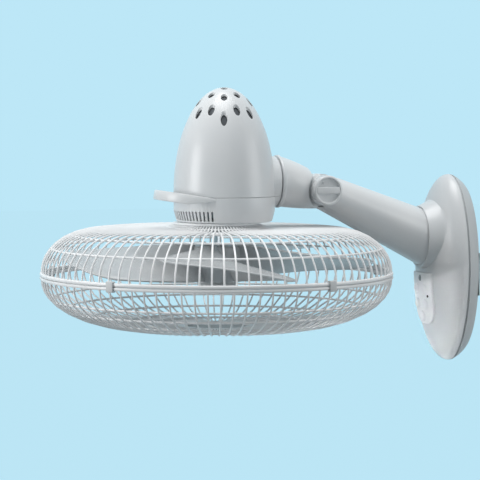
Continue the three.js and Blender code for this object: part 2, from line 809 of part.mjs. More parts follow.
// The crescent handle in front of the housing, part of the front cover.
function carryHandle() {
  const merge = rad(handleMergeAngle);
  const [mx, my] = [(housingRadius + 0.5) * Math.cos(merge), housingRadius * Math.sin(merge)];
  const tip = housingRadius + handleReach;
  const radius = (mx ** 2 + (tip - my) ** 2) / (2 * (tip - my));
  const centre = -(tip - radius);
  const inner = radius - handleWall;
  const edge = 1.2;
  const band = turned([
    [inner, 0], [radius - edge, 0], [radius, edge], [radius, handleHeight - edge],
    [radius - edge, handleHeight], [inner, handleHeight], [inner, 0],
  ], wideSides).translate([0, centre, 0]);
  const front = band.intersect(block(-90, 90, -120, -my, -5, handleHeight + 5));
  const lifted = front.translate([0, my, 0]).rotate([-handleLift, 0, 0]);
  const seated = lifted.translate([0, housingShift - my, seamZ - 1.2 - handleHeight]);
  return drilled(seated, turned([
    [0, coverBottom], [housingRadius - 1, coverBottom], [housingRadius - 1, bulletTip], [0, bulletTip],
  ], wideSides).translate([0, housingShift, 0]));
}

// ---------------------------------------------------------------- motor
const earPlaces = [45, 225].map((degrees) => {
  const reach = statorRadius + 1.5;
  return [reach * Math.cos(rad(degrees)), reach * Math.sin(rad(degrees))];
});
const coilRoom = statorRadius - 3;
const shieldBottom = statorZ - coilThickness - 2 * touch - shieldWall;
const shieldTop = statorTop + coilThickness + 2 * touch + shieldWall;
const splitLow = statorZ + shieldGrip;
const splitHigh = statorTop - shieldGrip;
const spigotEnd = nutTop - nutThickness + 1;

function frontShield() {
  const shoulderZ = coverBottom + coverFloor + touch;
  const [bore, grip] = [bearingRadius + touch, statorRadius + touch];
  const body = turned([
    [bore, spigotEnd], [spigotRadius, spigotEnd], [spigotRadius, shoulderZ], [spigotRadius + 7, shoulderZ],
    [spigotRadius + 7, shieldBottom], [shieldRadius, shieldBottom + 2], [shieldRadius, splitLow],
    [grip, splitLow], [grip, statorZ - touch], [coilRoom, statorZ - touch],
    [coilRoom, shieldBottom + shieldWall], [bore, shieldBottom + shieldWall], [bore, spigotEnd],
  ], hiddenSides);
  return drilled(joined(body, shieldEars(shieldBottom + 2, splitLow)), ...screwHoles());
}

// The ears that the through screws hold the two shields together by.
function shieldEars(z0, z1) {
  const ears = earPlaces.map((at) => rod('z', earRadius, z0, z1, at, 10));
  return drilled(joined(...ears), rod('z', statorRadius + touch + 1, z0 - 1, z1 + 1, [0, 0], hiddenSides));
}

function screwHoles() {
  return earPlaces.map((at) => rod('z', motorScrewRadius + touch, 50, 150, screwAt(at), 8));
}

function screwAt([x, y]) {
  const grow = (statorRadius + touch + motorScrewRadius + 1) / (statorRadius + 1.5);
  return [x * grow, y * grow];
}

function rearShield() {
  const [bore, grip] = [bearingRadius + touch, statorRadius + touch];
  const body = turned([
    [bore, shieldTop], [shieldRadius, shieldTop], [shieldRadius, splitHigh], [grip, splitHigh],
    [grip, statorTop + touch], [coilRoom, statorTop + touch], [coilRoom, shieldTop - shieldWall],
    [bore, shieldTop - shieldWall], [bore, shieldTop],
  ], hiddenSides);
  return drilled(joined(body, shieldEars(splitHigh, shieldTop)), ...screwHoles());
}

// The bracket stands behind the motor, carries the swing motor and ends in the swing boss.
const bracketPlateZ = shieldTop + touch;
const bushOuter = spindleRadius + running + bushWall;
const capacitorEndY = capacitorDepth + 3 - shieldRadius;

function headBracket() {
  const [half, thick] = [plateHalfWidth, plateThickness];
  const [low, top] = [bracketPlateZ, bracketPlateZ + thick];
  const mastY = local(gearBackY) - swingMotorGap;
  const shelf = block(-half, half, capacitorEndY + 2, mastY, low, top);
  const bearingHole = rod('z', bearingRadius + 2, low - 1, top + 1, [0, 0], hiddenSides);
  const mast = block(-half, half, mastY - thick, mastY, low, pinionZ + 14);
  const noseHole = rod('y', noseRadius + 1, mastY - thick - 1, mastY + 1, [0, pinionZ], fewSides);
  return joined(drilled(shelf, bearingHole), drilled(mast, noseHole));
}

function swingMotor() {
  const back = local(gearBackY) - swingMotorGap - plateThickness - touch;
  const gearEnd = local(gearFrontY) + 2;
  const body = rod('y', swingMotorRadius, back - swingMotorLength, back, [0, pinionZ], hiddenSides);
  const nose = rod('y', noseRadius, back - 1, local(gearBackY) - 7, [0, pinionZ], fewSides);
  const shaft = rod('y', pinionShaftRadius, back - 1, gearEnd, [0, pinionZ], fewSides);
  return joined(body, nose, shaft);
}

function swingBoss() {
  const [front, end] = [local(gearFrontY) + 2, local(bossEndY)];
  const tube = rod('y', bossRadius, front, end, [0, swingZ], hiddenSides);
  const foot = block(-18, 18, 30, front + 4, statorZ + 4, swingZ - spindleRadius - 7);
  const room = rod('z', shieldRadius + touch, shieldBottom, shieldTop + 9, [0, 0], hiddenSides);
  const bore = rod('y', bushOuter + touch / 3, front - 1, end + 1, [0, swingZ], hiddenSides);
  return drilled(joined(tube, foot), room, bore);
}

function spindleBush() {
  const [front, end] = [local(gearFrontY) + 2, local(bossEndY)];
  const sleeve = rod('y', bushOuter, front, end, [0, swingZ], hiddenSides);
  return drilled(sleeve, rod('y', spindleRadius + touch, front - 1, end + 1, [0, swingZ], hiddenSides));
}

function statorCore() {
  const ring = rod('z', statorRadius, statorZ, statorTop, [0, 0], hiddenSides);
  return drilled(ring, rod('z', rotorRadius + airGap, 0, 200, [0, 0], hiddenSides));
}

function coil(z0, z1) {
  const [inner, outer] = [rotorRadius + 2.5, statorRadius - 5];
  const [middle, edge] = [(z0 + z1) / 2, (outer - inner) * 0.4];
  return turned([
    [inner, middle], [inner + edge, z0], [outer - edge, z0], [outer, middle],
    [outer - edge, z1], [inner + edge, z1], [inner, middle],
  ], hiddenSides);
}

function bearing(z0, z1) {
  return drilled(
    rod('z', bearingRadius, z0, z1, [0, 0], hiddenSides),
    rod('z', shaftRadius + touch, z0 - 1, z1 + 1, [0, 0], fewSides),
  );
}

function motorScrew(at) {
  const [x, y] = screwAt(at);
  const [z0, z1] = [shieldBottom + 3, shieldTop];
  return joined(
    rod('z', motorScrewRadius, z0, z1 + 1, [x, y], 8),
    rod('z', 3.6, z1 + touch, z1 + 2.6, [x, y], 6),
  );
}

function capacitor() {
  const [half, z] = [capacitorWidth / 2, shieldTop + touch];
  return block(-half, half, capacitorEndY - capacitorDepth, capacitorEndY, z, z + capacitorHeight);
}

// ---------------------------------------------------------------- rotor, blades and spinner
function rotorCore() {
  const ring = rod('z', rotorRadius, statorZ, statorTop, [0, 0], hiddenSides);
  return drilled(ring, rod('z', shaftRadius + touch / 3, 0, 200, [0, 0], fewSides));
}

const bladeHubBottom = bladeHubTop - bladeHubDepth;

function motorShaft() {
  const rear = shieldTop + 2;
  return joined(
    rod('z', shaftRadius, bladeHubBottom - spinnerDepth * 0.6, rear, [0, 0], fewSides),
    rod('x', pinRadius, -pinHalfLength, pinHalfLength, [0, bladeHubTop - pinDepth], 10),
  );
}

// One blade: a cambered leaf from the hub to the tip, thinner at its edges.
function blade(index) {
  const [across, along] = [4, 5];
  const half = bladeThickness / 2;
  const middleZ = (bladeHubTop + bladeHubBottom) / 2 + 2;
  const point = (s, t, side) => {
    const sweep = rad(-14 * s * s);
    const spread = rad(19 + 17 * Math.sin(Math.PI * Math.min(1, 0.12 + 0.75 * s)));
    const roundTip = 20 * s * Math.abs(2 * t - 1) ** 3;
    const r = bladeRootRadius + (bladeRadius - bladeRootRadius) * s - roundTip;
    const angle = sweep + spread * (2 * t - 1) + (2 * Math.PI * index) / bladeCount;
    const flatten = 1 - 0.45 * s;
    const camber = 5 * Math.sin(Math.PI * t);
    const z = middleZ - bladePitchHeight * flatten * (t - 0.5) + camber + side * half;
    return new THREE.Vector3(r * Math.cos(angle), r * Math.sin(angle), z);
  };
  const rings = [];
  for (let i = 0; i <= along; i += 1) {
    const ring = [];
    for (let j = 0; j <= across; j += 1) ring.push(point(i / along, j / across, 1));
    for (let j = across; j >= 0; j -= 1) ring.push(point(i / along, j / across, -1));
    rings.push(ring);
  }
  return loft(rings);
}

function bladeSet() {
  const hub = turned([
    [0, bladeHubTop], [bladeHubRadius - 2, bladeHubTop], [bladeHubRadius, bladeHubTop - 2],
    [bladeHubRadius + 2, bladeHubBottom], [0, bladeHubBottom],
  ], midSides);
  const leaves = Array.from({ length: bladeCount }, (_, i) => blade(i));
  const pocket = rod('z', 15, bladeHubTop - 10, bladeHubTop + 1, [0, 0], midSides);
  const hollow = drilled(
    rod('z', bladeHubRadius - 3, bladeHubBottom - 1, bladeHubTop - 14, [0, 0], midSides),
    rod('z', 9, bladeHubBottom - 2, bladeHubTop, [0, 0], midSides),
  );
  const bore = rod('z', shaftRadius + touch, bladeHubBottom - 30, bladeHubTop + 1, [0, 0], fewSides);
  const trimmed = drilled(joined(hub, ...leaves), pocket, bore);
  const insideHub = rod('z', bladeHubRadius - 3, bladeHubBottom - 40, bladeHubBottom, [0, 0], midSides);
  return drilled(trimmed, hollow, insideHub);
}

function spinner() {
  const top = bladeHubBottom - touch;
  const steps = 3;
  const dome = Array.from({ length: steps + 1 }, (_, i) => {
    const t = (Math.PI / 2) * (i / steps);
    return [i === steps ? 0 : spinnerRadius * Math.cos(t), top - 4 - (spinnerDepth - 4) * Math.sin(t)];
  });
  const cap = turned([[0, top], [spinnerRadius, top], ...dome], 36);
  return drilled(cap, rod('z', shaftRadius + touch, top - spinnerDepth * 0.6 - touch, top + 1, [0, 0], fewSides));
}

// ---------------------------------------------------------------- cage
// A wire basket in one piece. Stations run from the hub to the rim along the basket's profile; at
// a ring station the radial wires and the ring cross in a block that both share. Each station has
// its radius, height and slope, half the ring's width (0 for a bend) and half the depth.
function basket(stations) {
  const points = [];
  const faces = [];
  const sections = stations.flatMap((s) => (s.half ? [[s, -s.half], [s, s.half]] : [[s, 0]]));
  const perWire = sections.length * 4;
  for (let wire = 0; wire < wireCount; wire += 1) {
    const turn = rad(clipTurn) + (2 * Math.PI * (wire + 0.5)) / wireCount;
    const out = new THREE.Vector3(Math.cos(turn), Math.sin(turn), 0);
    const side = new THREE.Vector3(-Math.sin(turn), Math.cos(turn), 0);
    const up = new THREE.Vector3(0, 0, 1);
    for (const [s, shift] of sections) {
      const [c, n] = [Math.cos(s.slope), Math.sin(s.slope)];
      const run = out.clone().multiplyScalar(c).addScaledVector(up, n);
      const normal = run.clone().cross(side);
      const centre = out.clone().multiplyScalar(s.r).setZ(s.z).addScaledVector(run, shift);
      for (const [a, b] of [[-1, -1], [1, -1], [1, 1], [-1, 1]]) {
        const corner = centre.clone().addScaledVector(side, (a * wireWidth) / 2);
        points.push(corner.addScaledVector(normal, b * s.depth));
      }
    }
  }
  const quad = (a, b, c, d) => faces.push(a, b, c, a, c, d);
  for (let wire = 0; wire < wireCount; wire += 1) {
    const [here, next] = [wire * perWire, ((wire + 1) % wireCount) * perWire];
    for (let i = 0; i + 1 < sections.length; i += 1) {
      const [p, q] = [here + 4 * i, here + 4 * i + 4];
      quad(p + 3, q + 3, q + 2, p + 2);
      quad(p, p + 1, q + 1, q);
      if (sections[i][0] !== sections[i + 1][0]) {
        quad(p + 1, p + 2, q + 2, q + 1);
        quad(p, q, q + 3, p + 3);
        continue;
      }
      const [u, v] = [next + 4 * i, next + 4 * i + 4];
      quad(p + 2, q + 2, v + 3, u + 3);
      quad(p + 1, u, v, q + 1);
      quad(p + 1, p + 2, u + 3, u);
      quad(q + 1, v, v + 3, q + 2);
    }
    const end = here + perWire - 4;
    quad(here, here + 3, here + 2, here + 1);
    quad(end, end + 1, end + 2, end + 3);
  }
  return solid(meshOf(points, faces));
}

// A place on a cage's shoulder: `t` runs from 0 at the flat to 90 degrees at the rim.
function shoulder(flatRadius, flatZ, edgeZ, t, half, depth = wireWidth / 2) {
  const reach = cageRadius - rimThickness / 2 - flatRadius;
  const drop = edgeZ - flatZ;
  const [s, c] = [Math.sin(rad(t)), Math.cos(rad(t))];
  const slope = Math.atan2(-drop * -s, reach * c);
  return { r: flatRadius + reach * s, z: edgeZ - drop * c, slope, half, depth };
}

function rearGrille() {
  const wire = wireWidth / 2;
  const ring = ringWidth / 2;
  const edge = rimZ + touch / 2 + rimHeight;
  const inner = spigotRadius + running;
  const hub = { r: (inner + hubPlateRadius) / 2, z: hubPlateZ, slope: 0 };
  const bend = (t, half) => shoulder(rearFlatRadius, rearTopZ, edge, t, half);
  return basket([
    { ...hub, half: (hubPlateRadius - inner) / 2, depth: hubPlateThickness / 2 },
    { r: hubPlateRadius + 9, z: rearTopZ + 1, slope: 0, half: 0, depth: wire },
    { r: 104, z: rearTopZ, slope: 0, half: ring, depth: wire },
    bend(26, ring),
    bend(54, ring),
    { r: cageRadius - rimThickness / 2, z: edge - rimHeight / 2, slope: -Math.PI / 2,
      half: rimHeight / 2, depth: rimThickness / 2 },
  ]);
}

function frontGrille() {
  const wire = wireWidth / 2;
  const ring = ringWidth / 2;
  const edge = rimZ - touch / 2 - rimHeight;
  const bend = (t, half) => shoulder(frontFlatRadius, frontBottomZ, edge, t, half);
  return basket([
    { r: badgeRadius - 4, z: frontBottomZ, slope: 0, half: 4, depth: wire },
    { r: frontFlatRadius, z: frontBottomZ, slope: 0, half: 0, depth: wire },
    bend(30, ring),
    bend(66, ring),
    { r: cageRadius - rimThickness / 2, z: edge + rimHeight / 2, slope: Math.PI / 2,
      half: rimHeight / 2, depth: rimThickness / 2 },
  ]);
}

function grilleNut() {
  const [z0, z1] = [nutTop - nutThickness, nutTop];
  const body = turned([
    [spigotRadius + touch, z0], [nutRadius - 2, z0], [nutRadius, z0 + 2], [nutRadius, z1],
    [spigotRadius + touch, z1], [spigotRadius + touch, z0],
  ], hiddenSides);
  const flutes = Array.from({ length: nutFlutes }, (_, i) => {
    const a = (2 * Math.PI * i) / nutFlutes;
    return rod('z', 3, z0 - 1, z1 + 1, [(nutRadius + 1) * Math.cos(a), (nutRadius + 1) * Math.sin(a)], 6);
  });
  return drilled(body, ...flutes);
}

function frontBadge() {
  const top = frontBottomZ - wireWidth / 2 - touch;
  const low = top - badgeThickness;
  return turned([
    [0, top], [badgeRadius, top], [badgeRadius + 1, top - 1.2], [badgeRadius - 2, low + 0.8],
    [badgeRadius - 10, low], [0, low],
  ], wideSides);
}

function rimClip(index) {
  const [inner, outer] = [cageRadius + touch, cageRadius + touch + clipWall];
  const lip = cageRadius - rimThickness + 1;
  const [top, low] = [rimZ + touch / 2 + rimHeight + touch, rimZ - touch / 2 - rimHeight - touch];
  const section = outline([
    [lip, top], [inner, top], [inner, low], [lip, low], [lip, low - clipWall],
    [outer, low - clipWall], [outer, top + clipWall], [lip, top + clipWall],
  ]);
  const strip = prism(section, 'y', -clipWidth / 2, clipWidth / 2);
  return strip.rotate([0, 0, clipTurn + (index * 360) / clipCount]);
}

// ---------------------------------------------------------------- the assembly
place(wallFan, 'wall_bracket', wallBracket(), zincSteel);
place(wallFan, 'base_plate', basePlate(), deepGrey);
place(wallFan, 'base_shell', baseShell(), paleGrey);
place(wallFan, 'control_panel', controlPanel(), gripGrey);
place(wallFan, 'control_board', controlBoard(), boardGreen);
place(wallFan, 'receiver_window', receiverWindow(), darkPlastic);
const buttonNames = ['button_speed', 'button_swing', 'button_timer', 'button_mode', 'button_power'];
buttonPlaces().forEach((at, i) => place(wallFan, buttonNames[i], controlButton(at), paleGrey));
place(wallFan, 'arm', arm(), paleGrey);
footLugs.forEach((at, i) => place(wallFan, `arm_screw_${i + 1}`, armScrew(at), steel));
[1, -1].forEach((side, i) => place(wallFan, `shell_screw_${i + 1}`, shellScrew(side), steel));
place(wallFan, 'tilt_bolt', tiltBolt(), steel);
place(wallFan, 'tilt_knob', tiltKnob(), gripGrey);

place(neckPieces, 'neck', neck(), paleGrey);
place(neckPieces, 'swing_spindle', swingSpindle(), steel);
place(neckPieces, 'swing_washer', swingWasher(), darkPlastic);
place(neckPieces, 'swing_sector', swingSector(), darkPlastic);
place(neckPieces, 'spindle_clip', spindleClip(), steel);

place(headPieces, 'front_cover', frontCover(), paleGrey);
place(headPieces, 'rear_cover', rearCover(), paleGrey);
place(headPieces, 'front_shield', frontShield(), castAlloy);
place(headPieces, 'rear_shield', rearShield(), castAlloy);
place(headPieces, 'head_bracket', headBracket(), zincSteel);
place(headPieces, 'swing_boss', swingBoss(), castAlloy);
place(headPieces, 'spindle_bush', spindleBush(), bronze);
place(headPieces, 'stator_core', statorCore(), laminations);
place(headPieces, 'coil_front', coil(statorZ - touch - coilThickness, statorZ - touch), copper);
place(headPieces, 'coil_rear', coil(statorTop + touch, statorTop + touch + coilThickness), copper);
place(headPieces, 'bearing_front', bearing(spigotEnd + 1, spigotEnd + 1 + bearingLength), bronze);
place(headPieces, 'bearing_rear', bearing(shieldTop - bearingLength, shieldTop), bronze);
place(headPieces, 'swing_motor', swingMotor(), steel);
place(headPieces, 'swing_pinion', swingPinion(), darkPlastic);
place(headPieces, 'run_capacitor', capacitor(), darkPlastic);
earPlaces.forEach((at, i) => place(headPieces, `motor_screw_${i + 1}`, motorScrew(at), steel));
place(headPieces, 'rear_grille', rearGrille(), wireWhite);
place(headPieces, 'grille_nut', grilleNut(), deepGrey);
place(headPieces, 'front_grille', frontGrille(), wireWhite);
place(headPieces, 'front_badge', frontBadge(), gripGrey);
for (let i = 0; i < clipCount; i += 1) place(headPieces, `rim_clip_${i + 1}`, rimClip(i), gripGrey);

place(rotorPieces, 'rotor_core', rotorCore(), laminations);
place(rotorPieces, 'motor_shaft', motorShaft(), steel);
place(rotorPieces, 'fan_blades', bladeSet(), bladeWhite);
place(rotorPieces, 'blade_spinner', spinner(), gripGrey);

export default wallFan;
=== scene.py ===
# Wall fan with its head folded down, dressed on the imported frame. Blender 4.5.
import math

import bmesh
import bpy
from mathutils import Matrix, Vector


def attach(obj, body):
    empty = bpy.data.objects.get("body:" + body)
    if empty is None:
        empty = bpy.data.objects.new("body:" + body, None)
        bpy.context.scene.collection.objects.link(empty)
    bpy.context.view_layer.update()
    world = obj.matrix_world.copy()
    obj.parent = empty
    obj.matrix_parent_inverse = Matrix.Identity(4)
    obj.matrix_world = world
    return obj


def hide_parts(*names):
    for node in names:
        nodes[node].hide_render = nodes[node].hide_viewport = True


mm = 0.001
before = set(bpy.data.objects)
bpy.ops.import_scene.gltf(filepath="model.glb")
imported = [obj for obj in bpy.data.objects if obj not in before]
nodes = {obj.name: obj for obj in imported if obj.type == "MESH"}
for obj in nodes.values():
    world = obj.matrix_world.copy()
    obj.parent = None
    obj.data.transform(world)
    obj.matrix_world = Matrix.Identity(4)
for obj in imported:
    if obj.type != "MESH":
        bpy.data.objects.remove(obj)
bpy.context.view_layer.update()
bpy.ops.object.select_all(action="DESELECT")
print("frame loaded:", len(nodes), "CAD pieces")

# camera: a long lens, a little behind the fan's side and slightly above it
shot = {"turn": 18.0, "lift": 3.6, "lens": 150.0, "right": -288.68, "up": 34.31, "back": 2589.09}


def addCamera():
    turn, lift = math.radians(shot["turn"]), math.radians(shot["lift"])
    right = Vector((math.sin(turn), math.cos(turn), 0))
    back = Vector((math.cos(lift) * math.cos(turn), -math.cos(lift) * math.sin(turn), math.sin(lift)))
    up = back.cross(right)
    place = (shot["right"] * right + shot["up"] * up + shot["back"] * back) * mm
    facing = Matrix((right, up, back)).transposed()
    bpy.ops.object.camera_add(location=place, rotation=facing.to_euler())
    camera = bpy.context.active_object
    camera.name = "camera"
    camera.data.lens = shot["lens"]
    camera.data.sensor_width = 36.0
    camera.data.clip_end = 50.0
    bpy.context.scene.camera = camera


addCamera()
print("camera placed")


# ---- helpers for modelling
def named(name):
    piece = bpy.context.active_object
    piece.name = name
    piece.data.name = name
    return piece


def pick(*pieces):
    bpy.ops.object.select_all(action="DESELECT")
    for piece in pieces:
        piece.select_set(True)
    bpy.context.view_layer.objects.active = pieces[0]


def startEdit(piece):
    pick(piece)
    bpy.ops.object.mode_set(mode="EDIT")
    bpy.ops.mesh.select_all(action="SELECT")


def endEdit():
    bpy.ops.mesh.select_all(action="SELECT")
    bpy.ops.mesh.normals_make_consistent(inside=False)
    bpy.ops.object.mode_set(mode="OBJECT")


# In edit mode: of all edges or faces, only those that pass the test stay selected.
def choose(piece, kind, test):
    bpy.ops.mesh.select_all(action="DESELECT")
    mesh = bmesh.from_edit_mesh(piece.data)
    for part in getattr(mesh, kind):
        part.select = test(part)
    bmesh.update_edit_mesh(piece.data)


def settle(piece):  # its place goes into its mesh
    pick(piece)
    bpy.ops.object.transform_apply(location=True, rotation=True, scale=True)


def joinAll(pieces):
    pick(*pieces)
    bpy.ops.object.join()
    return pieces[0]


def modify(piece, kind, **settings):
    pick(piece)
    bpy.ops.object.modifier_add(type=kind)
    modifier = piece.modifiers[-1]
    for key, value in settings.items():
        setattr(modifier, key, value)
    bpy.ops.object.modifier_apply(modifier=modifier.name)
    return piece


def carve(piece, tool, how="DIFFERENCE"):
    settle(tool)
    settle(piece)
    modify(piece, "BOOLEAN", operation=how, object=tool, solver="EXACT")
    bpy.data.objects.remove(tool, do_unlink=True)
    return piece


def soften(piece, width, angle=35, segments=2):
    startEdit(piece)  # slivers left by a cut would spoil the rounding
    bpy.ops.mesh.remove_doubles(threshold=0.02 * mm)
    bpy.ops.mesh.dissolve_degenerate(threshold=0.02 * mm)
    endEdit()
    return modify(
        piece, "BEVEL", width=width * mm, segments=segments, limit_method="ANGLE",
        angle_limit=math.radians(angle), harden_normals=False, use_clamp_overlap=True,
    )


def duplicate(piece, name):
    pick(piece)
    bpy.ops.object.duplicate()
    return named(name)


# Rings round z: a circle extruded to each next (radius, height) or (x radius, y radius, height);
# a radius of 0 closes in a point.
def ringForm(name, profile, sides=96, capped=True):
    rings = [(ring[0], ring[-2], ring[-1]) for ring in profile]
    across, along, height = rings[0]
    bpy.ops.mesh.primitive_circle_add(
        vertices=sides, radius=across * mm, location=(0, 0, height * mm),
        fill_type="NGON" if capped else "NOTHING",
    )
    piece = named(name)
    startEdit(piece)
    bpy.ops.transform.resize(value=(1, along / across, 1), center_override=(0, 0, height * mm))
    for nextAcross, nextAlong, nextHeight in rings[1:]:
        bpy.ops.mesh.extrude_region_move(
            TRANSFORM_OT_translate={"value": (0, 0, (nextHeight - height) * mm)}
        )
        if nextAcross > 0:
            growth = (nextAcross / across, nextAlong / along, 1)
            bpy.ops.transform.resize(value=growth, center_override=(0, 0, nextHeight * mm))
        else:
            bpy.ops.mesh.merge(type="CENTER")
        across, along, height = nextAcross, nextAlong, nextHeight
    endEdit()
    settle(piece)
    return piece


# The same for a closed section turned round z: the last ring is bridged to the first.
def ringBand(name, section, sides=96):
    piece = ringForm(name, section, sides, capped=False)
    startEdit(piece)
    bpy.ops.mesh.select_all(action="DESELECT")
    bpy.ops.mesh.select_non_manifold(extend=False)
    bpy.ops.mesh.bridge_edge_loops()
    endEdit()
    return piece


# The piece is turned about x, then y, then z, in degrees, and then moved.
def lay(piece, turn=(0, 0, 0), move=(0, 0, 0)):
    piece.matrix_world = (
        Matrix.Translation(Vector(move) * mm)
        @ Matrix.Rotation(math.radians(turn[2]), 4, "Z")
        @ Matrix.Rotation(math.radians(turn[1]), 4, "Y")
        @ Matrix.Rotation(math.radians(turn[0]), 4, "X")
    )
    settle(piece)
    return piece


# A bar along x, y or z between two heights of that axis.
def bar(name, axis, radius, start, end, at=(0, 0), sides=48):
    piece = ringForm(name, [(radius, start), (radius, end)], sides)
    if axis == "x":
        return lay(piece, turn=(0, 90, 0), move=(0, at[0], at[1]))
    if axis == "y":
        return lay(piece, turn=(-90, 0, 0), move=(at[0], 0, at[1]))
    return lay(piece, move=(at[0], at[1], 0))


def box(name, low, high):
    size = [h - l for l, h in zip(low, high)]
    middle = [(h + l) / 2 * mm for l, h in zip(low, high)]
    bpy.ops.mesh.primitive_cube_add(size=1, location=middle)
    piece = named(name)
    piece.scale = [s * mm for s in size]
    settle(piece)
    return piece


# A round wire along a path of points, with closed ends.
def wire(name, path, radius):
    bpy.ops.curve.primitive_nurbs_path_add()
    piece = named(name)
    curve = piece.data
    curve.splines.clear()
    spline = curve.splines.new("POLY")
    spline.points.add(len(path) - 1)
    for point, place in zip(spline.points, path):
        point.co = (*(Vector(place) * mm), 1)
    curve.dimensions = "3D"
    curve.twist_mode = "Z_UP"
    curve.bevel_depth = radius * mm
    curve.bevel_resolution = 1
    curve.use_fill_caps = True
    pick(piece)
    bpy.ops.object.convert(target="MESH")
    return named(name)


def spinCopies(piece, count):
    startEdit(piece)
    turn = 2 * math.pi * (count - 1) / count
    bpy.ops.mesh.spin(steps=count - 1, dupli=True, angle=turn, center=(0, 0, 0), axis=(0, 0, 1))
    bpy.ops.object.mode_set(mode="OBJECT")
    return piece


def ringWire(name, radius, height, thick):
    bpy.ops.mesh.primitive_torus_add(
        major_radius=radius * mm, minor_radius=thick / 2 * mm, major_segments=144, minor_segments=8,
        location=(0, 0, height * mm),
    )
    return named(name)


# The piece gets its finish, rides on its body and stands for its CAD nodes.
def finishPiece(piece, body, material, replaced=(), angle=32):
    settle(piece)
    pick(piece)
    piece.data.materials.clear()
    piece.data.materials.append(material)
    bpy.ops.object.shade_smooth_by_angle(angle=math.radians(angle))
    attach(piece, body)
    if replaced:
        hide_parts(*replaced)
    return piece


# ---- helpers for materials
def linear(text):
    parts = [int(text[i:i + 2], 16) / 255 for i in (1, 3, 5)]
    return (*[p / 12.92 if p <= 0.04045 else ((p + 0.055) / 1.055) ** 2.4 for p in parts], 1)


def addNode(tree, kind, links=(), **settings):
    node = tree.nodes.new(kind)
    for key, value in settings.items():
        if hasattr(node, key):
            setattr(node, key, value)
        else:
            node.inputs[key.replace("_", " ")].default_value = value
    for socket, source in links:
        tree.links.new(node.inputs[socket], source)
    return node


# A surface of one stuff: its colour wanders a little between two shades, its gloss between two
# values, and a fine grain of `grain` millimetres lifts it by `lift`.
def moulded(name, shades, gloss, grain, lift, metallic=0.0):
    material = bpy.data.materials.new(name)
    material.use_nodes = True
    tree = material.node_tree
    shader = tree.nodes["Principled BSDF"]
    place = addNode(tree, "ShaderNodeTexCoord").outputs["Object"]
    cloud = addNode(tree, "ShaderNodeTexNoise", [("Vector", place)], Scale=14.0, Detail=3.0)
    tint = addNode(tree, "ShaderNodeValToRGB", [("Fac", cloud.outputs["Fac"])])
    tint.color_ramp.elements[0].position = 0.35
    tint.color_ramp.elements[1].position = 0.65
    tint.color_ramp.elements[0].color = linear(shades[0])
    tint.color_ramp.elements[1].color = linear(shades[1])
    tree.links.new(shader.inputs["Base Color"], tint.outputs["Color"])
    fine = addNode(tree, "ShaderNodeTexNoise", [("Vector", place)], Scale=1.0 / (grain * mm), Detail=2.0)
    spread = addNode(tree, "ShaderNodeMapRange", [("Value", fine.outputs["Fac"])])
    spread.inputs["To Min"].default_value = gloss[0]
    spread.inputs["To Max"].default_value = gloss[1]
    tree.links.new(shader.inputs["Roughness"], spread.outputs["Result"])
    height = [("Height", fine.outputs["Fac"])]
    bump = addNode(tree, "ShaderNodeBump", height, Strength=lift, Distance=0.0002)
    tree.links.new(shader.inputs["Normal"], bump.outputs["Normal"])
    shader.inputs["Metallic"].default_value = metallic
    return material


# spark-eroded ABS: an even satin, its fine grain just breaking up the highlight
plainAbs = moulded("moulded ABS", ("#cfd2d4", "#d4d6d7"), (0.27, 0.34), 0.5, 0.06)
# the same stuff a shade deeper: painted shade for the tray beside the dome and the nut behind the grille
shadedAbs = moulded("moulded ABS, deeper grey", ("#b9bcbe", "#bfc2c3"), (0.40, 0.48), 0.5, 0.12)
# soft-touch grey ABS of rim clips, badge and spinner: duller, a shade darker
gripAbs = moulded("soft-touch ABS", ("#c2c5c6", "#c8cacb"), (0.42, 0.52), 0.4, 0.15)
# PVC-dipped steel wire: smooth, with a round even gloss
dippedWire = moulded("PVC-dipped wire", ("#e6e8e9", "#ecedee"), (0.28, 0.36), 2.0, 0.05)
# blade styrene: glossier than the housing and slightly warm; its grey is partly real and partly painted
# shade, darkened for the shade inside the cage
styrene = moulded("moulded styrene", ("#bfc2c4", "#c5c7c8"), (0.22, 0.30), 1.5, 0.04)
# small parts of black glass-filled nylon
nylon = moulded("black nylon", ("#26292b", "#2d3032"), (0.36, 0.48), 0.5, 0.15)
# rolled steel, bright zinc plated: pale with a faint cool cloud
zincSteel = moulded("zinc-plated steel", ("#c3c5c2", "#d0d0ca"), (0.28, 0.42), 1.2, 0.08, metallic=1.0)
# turned steel of screws, bolt and shafts
turnedSteel = moulded("turned steel", ("#a9abad", "#b9bbbd"), (0.24, 0.34), 0.4, 0.10, metallic=1.0)
# die-cast aluminium: dull, with a coarse skin
castAlloy = moulded("die-cast aluminium", ("#9b9ea0", "#a9abad"), (0.45, 0.6), 0.8, 0.3, metallic=1.0)
# oil-impregnated bronze
bronze = moulded("sintered bronze", ("#8f6f3c", "#a58447"), (0.42, 0.55), 0.3, 0.25, metallic=1.0)
# glass-epoxy board under green solder mask
boardGreen = moulded("solder mask", ("#245238", "#2d6343"), (0.28, 0.36), 0.8, 0.05)
# a matt dark sheet behind the vents: painted shade for the dark inside of the housing, it swallows the
# light
paintedShadeSheet = moulded("black gauze", ("#585c60", "#606468"), (0.85, 0.95), 0.6, 0.4)
# moulding of the control panel and its buttons, the palest of the plastics; its pallor is partly real and
# partly painted light, raised to the panel's brightly lit look
paleAbs = moulded("pale ABS", ("#f0f1f2", "#f4f5f5"), (0.30, 0.38), 0.5, 0.08)
# smoked polycarbonate of the indicator: glossy, nearly black
smoked = moulded("smoked polycarbonate", ("#2b2e31", "#323538"), (0.12, 0.18), 1.0, 0.02)
# tinted polycarbonate of the receiver's lens: glossy grey
tinted = moulded("tinted polycarbonate", ("#777b7f", "#7f8387"), (0.10, 0.16), 1.0, 0.02)


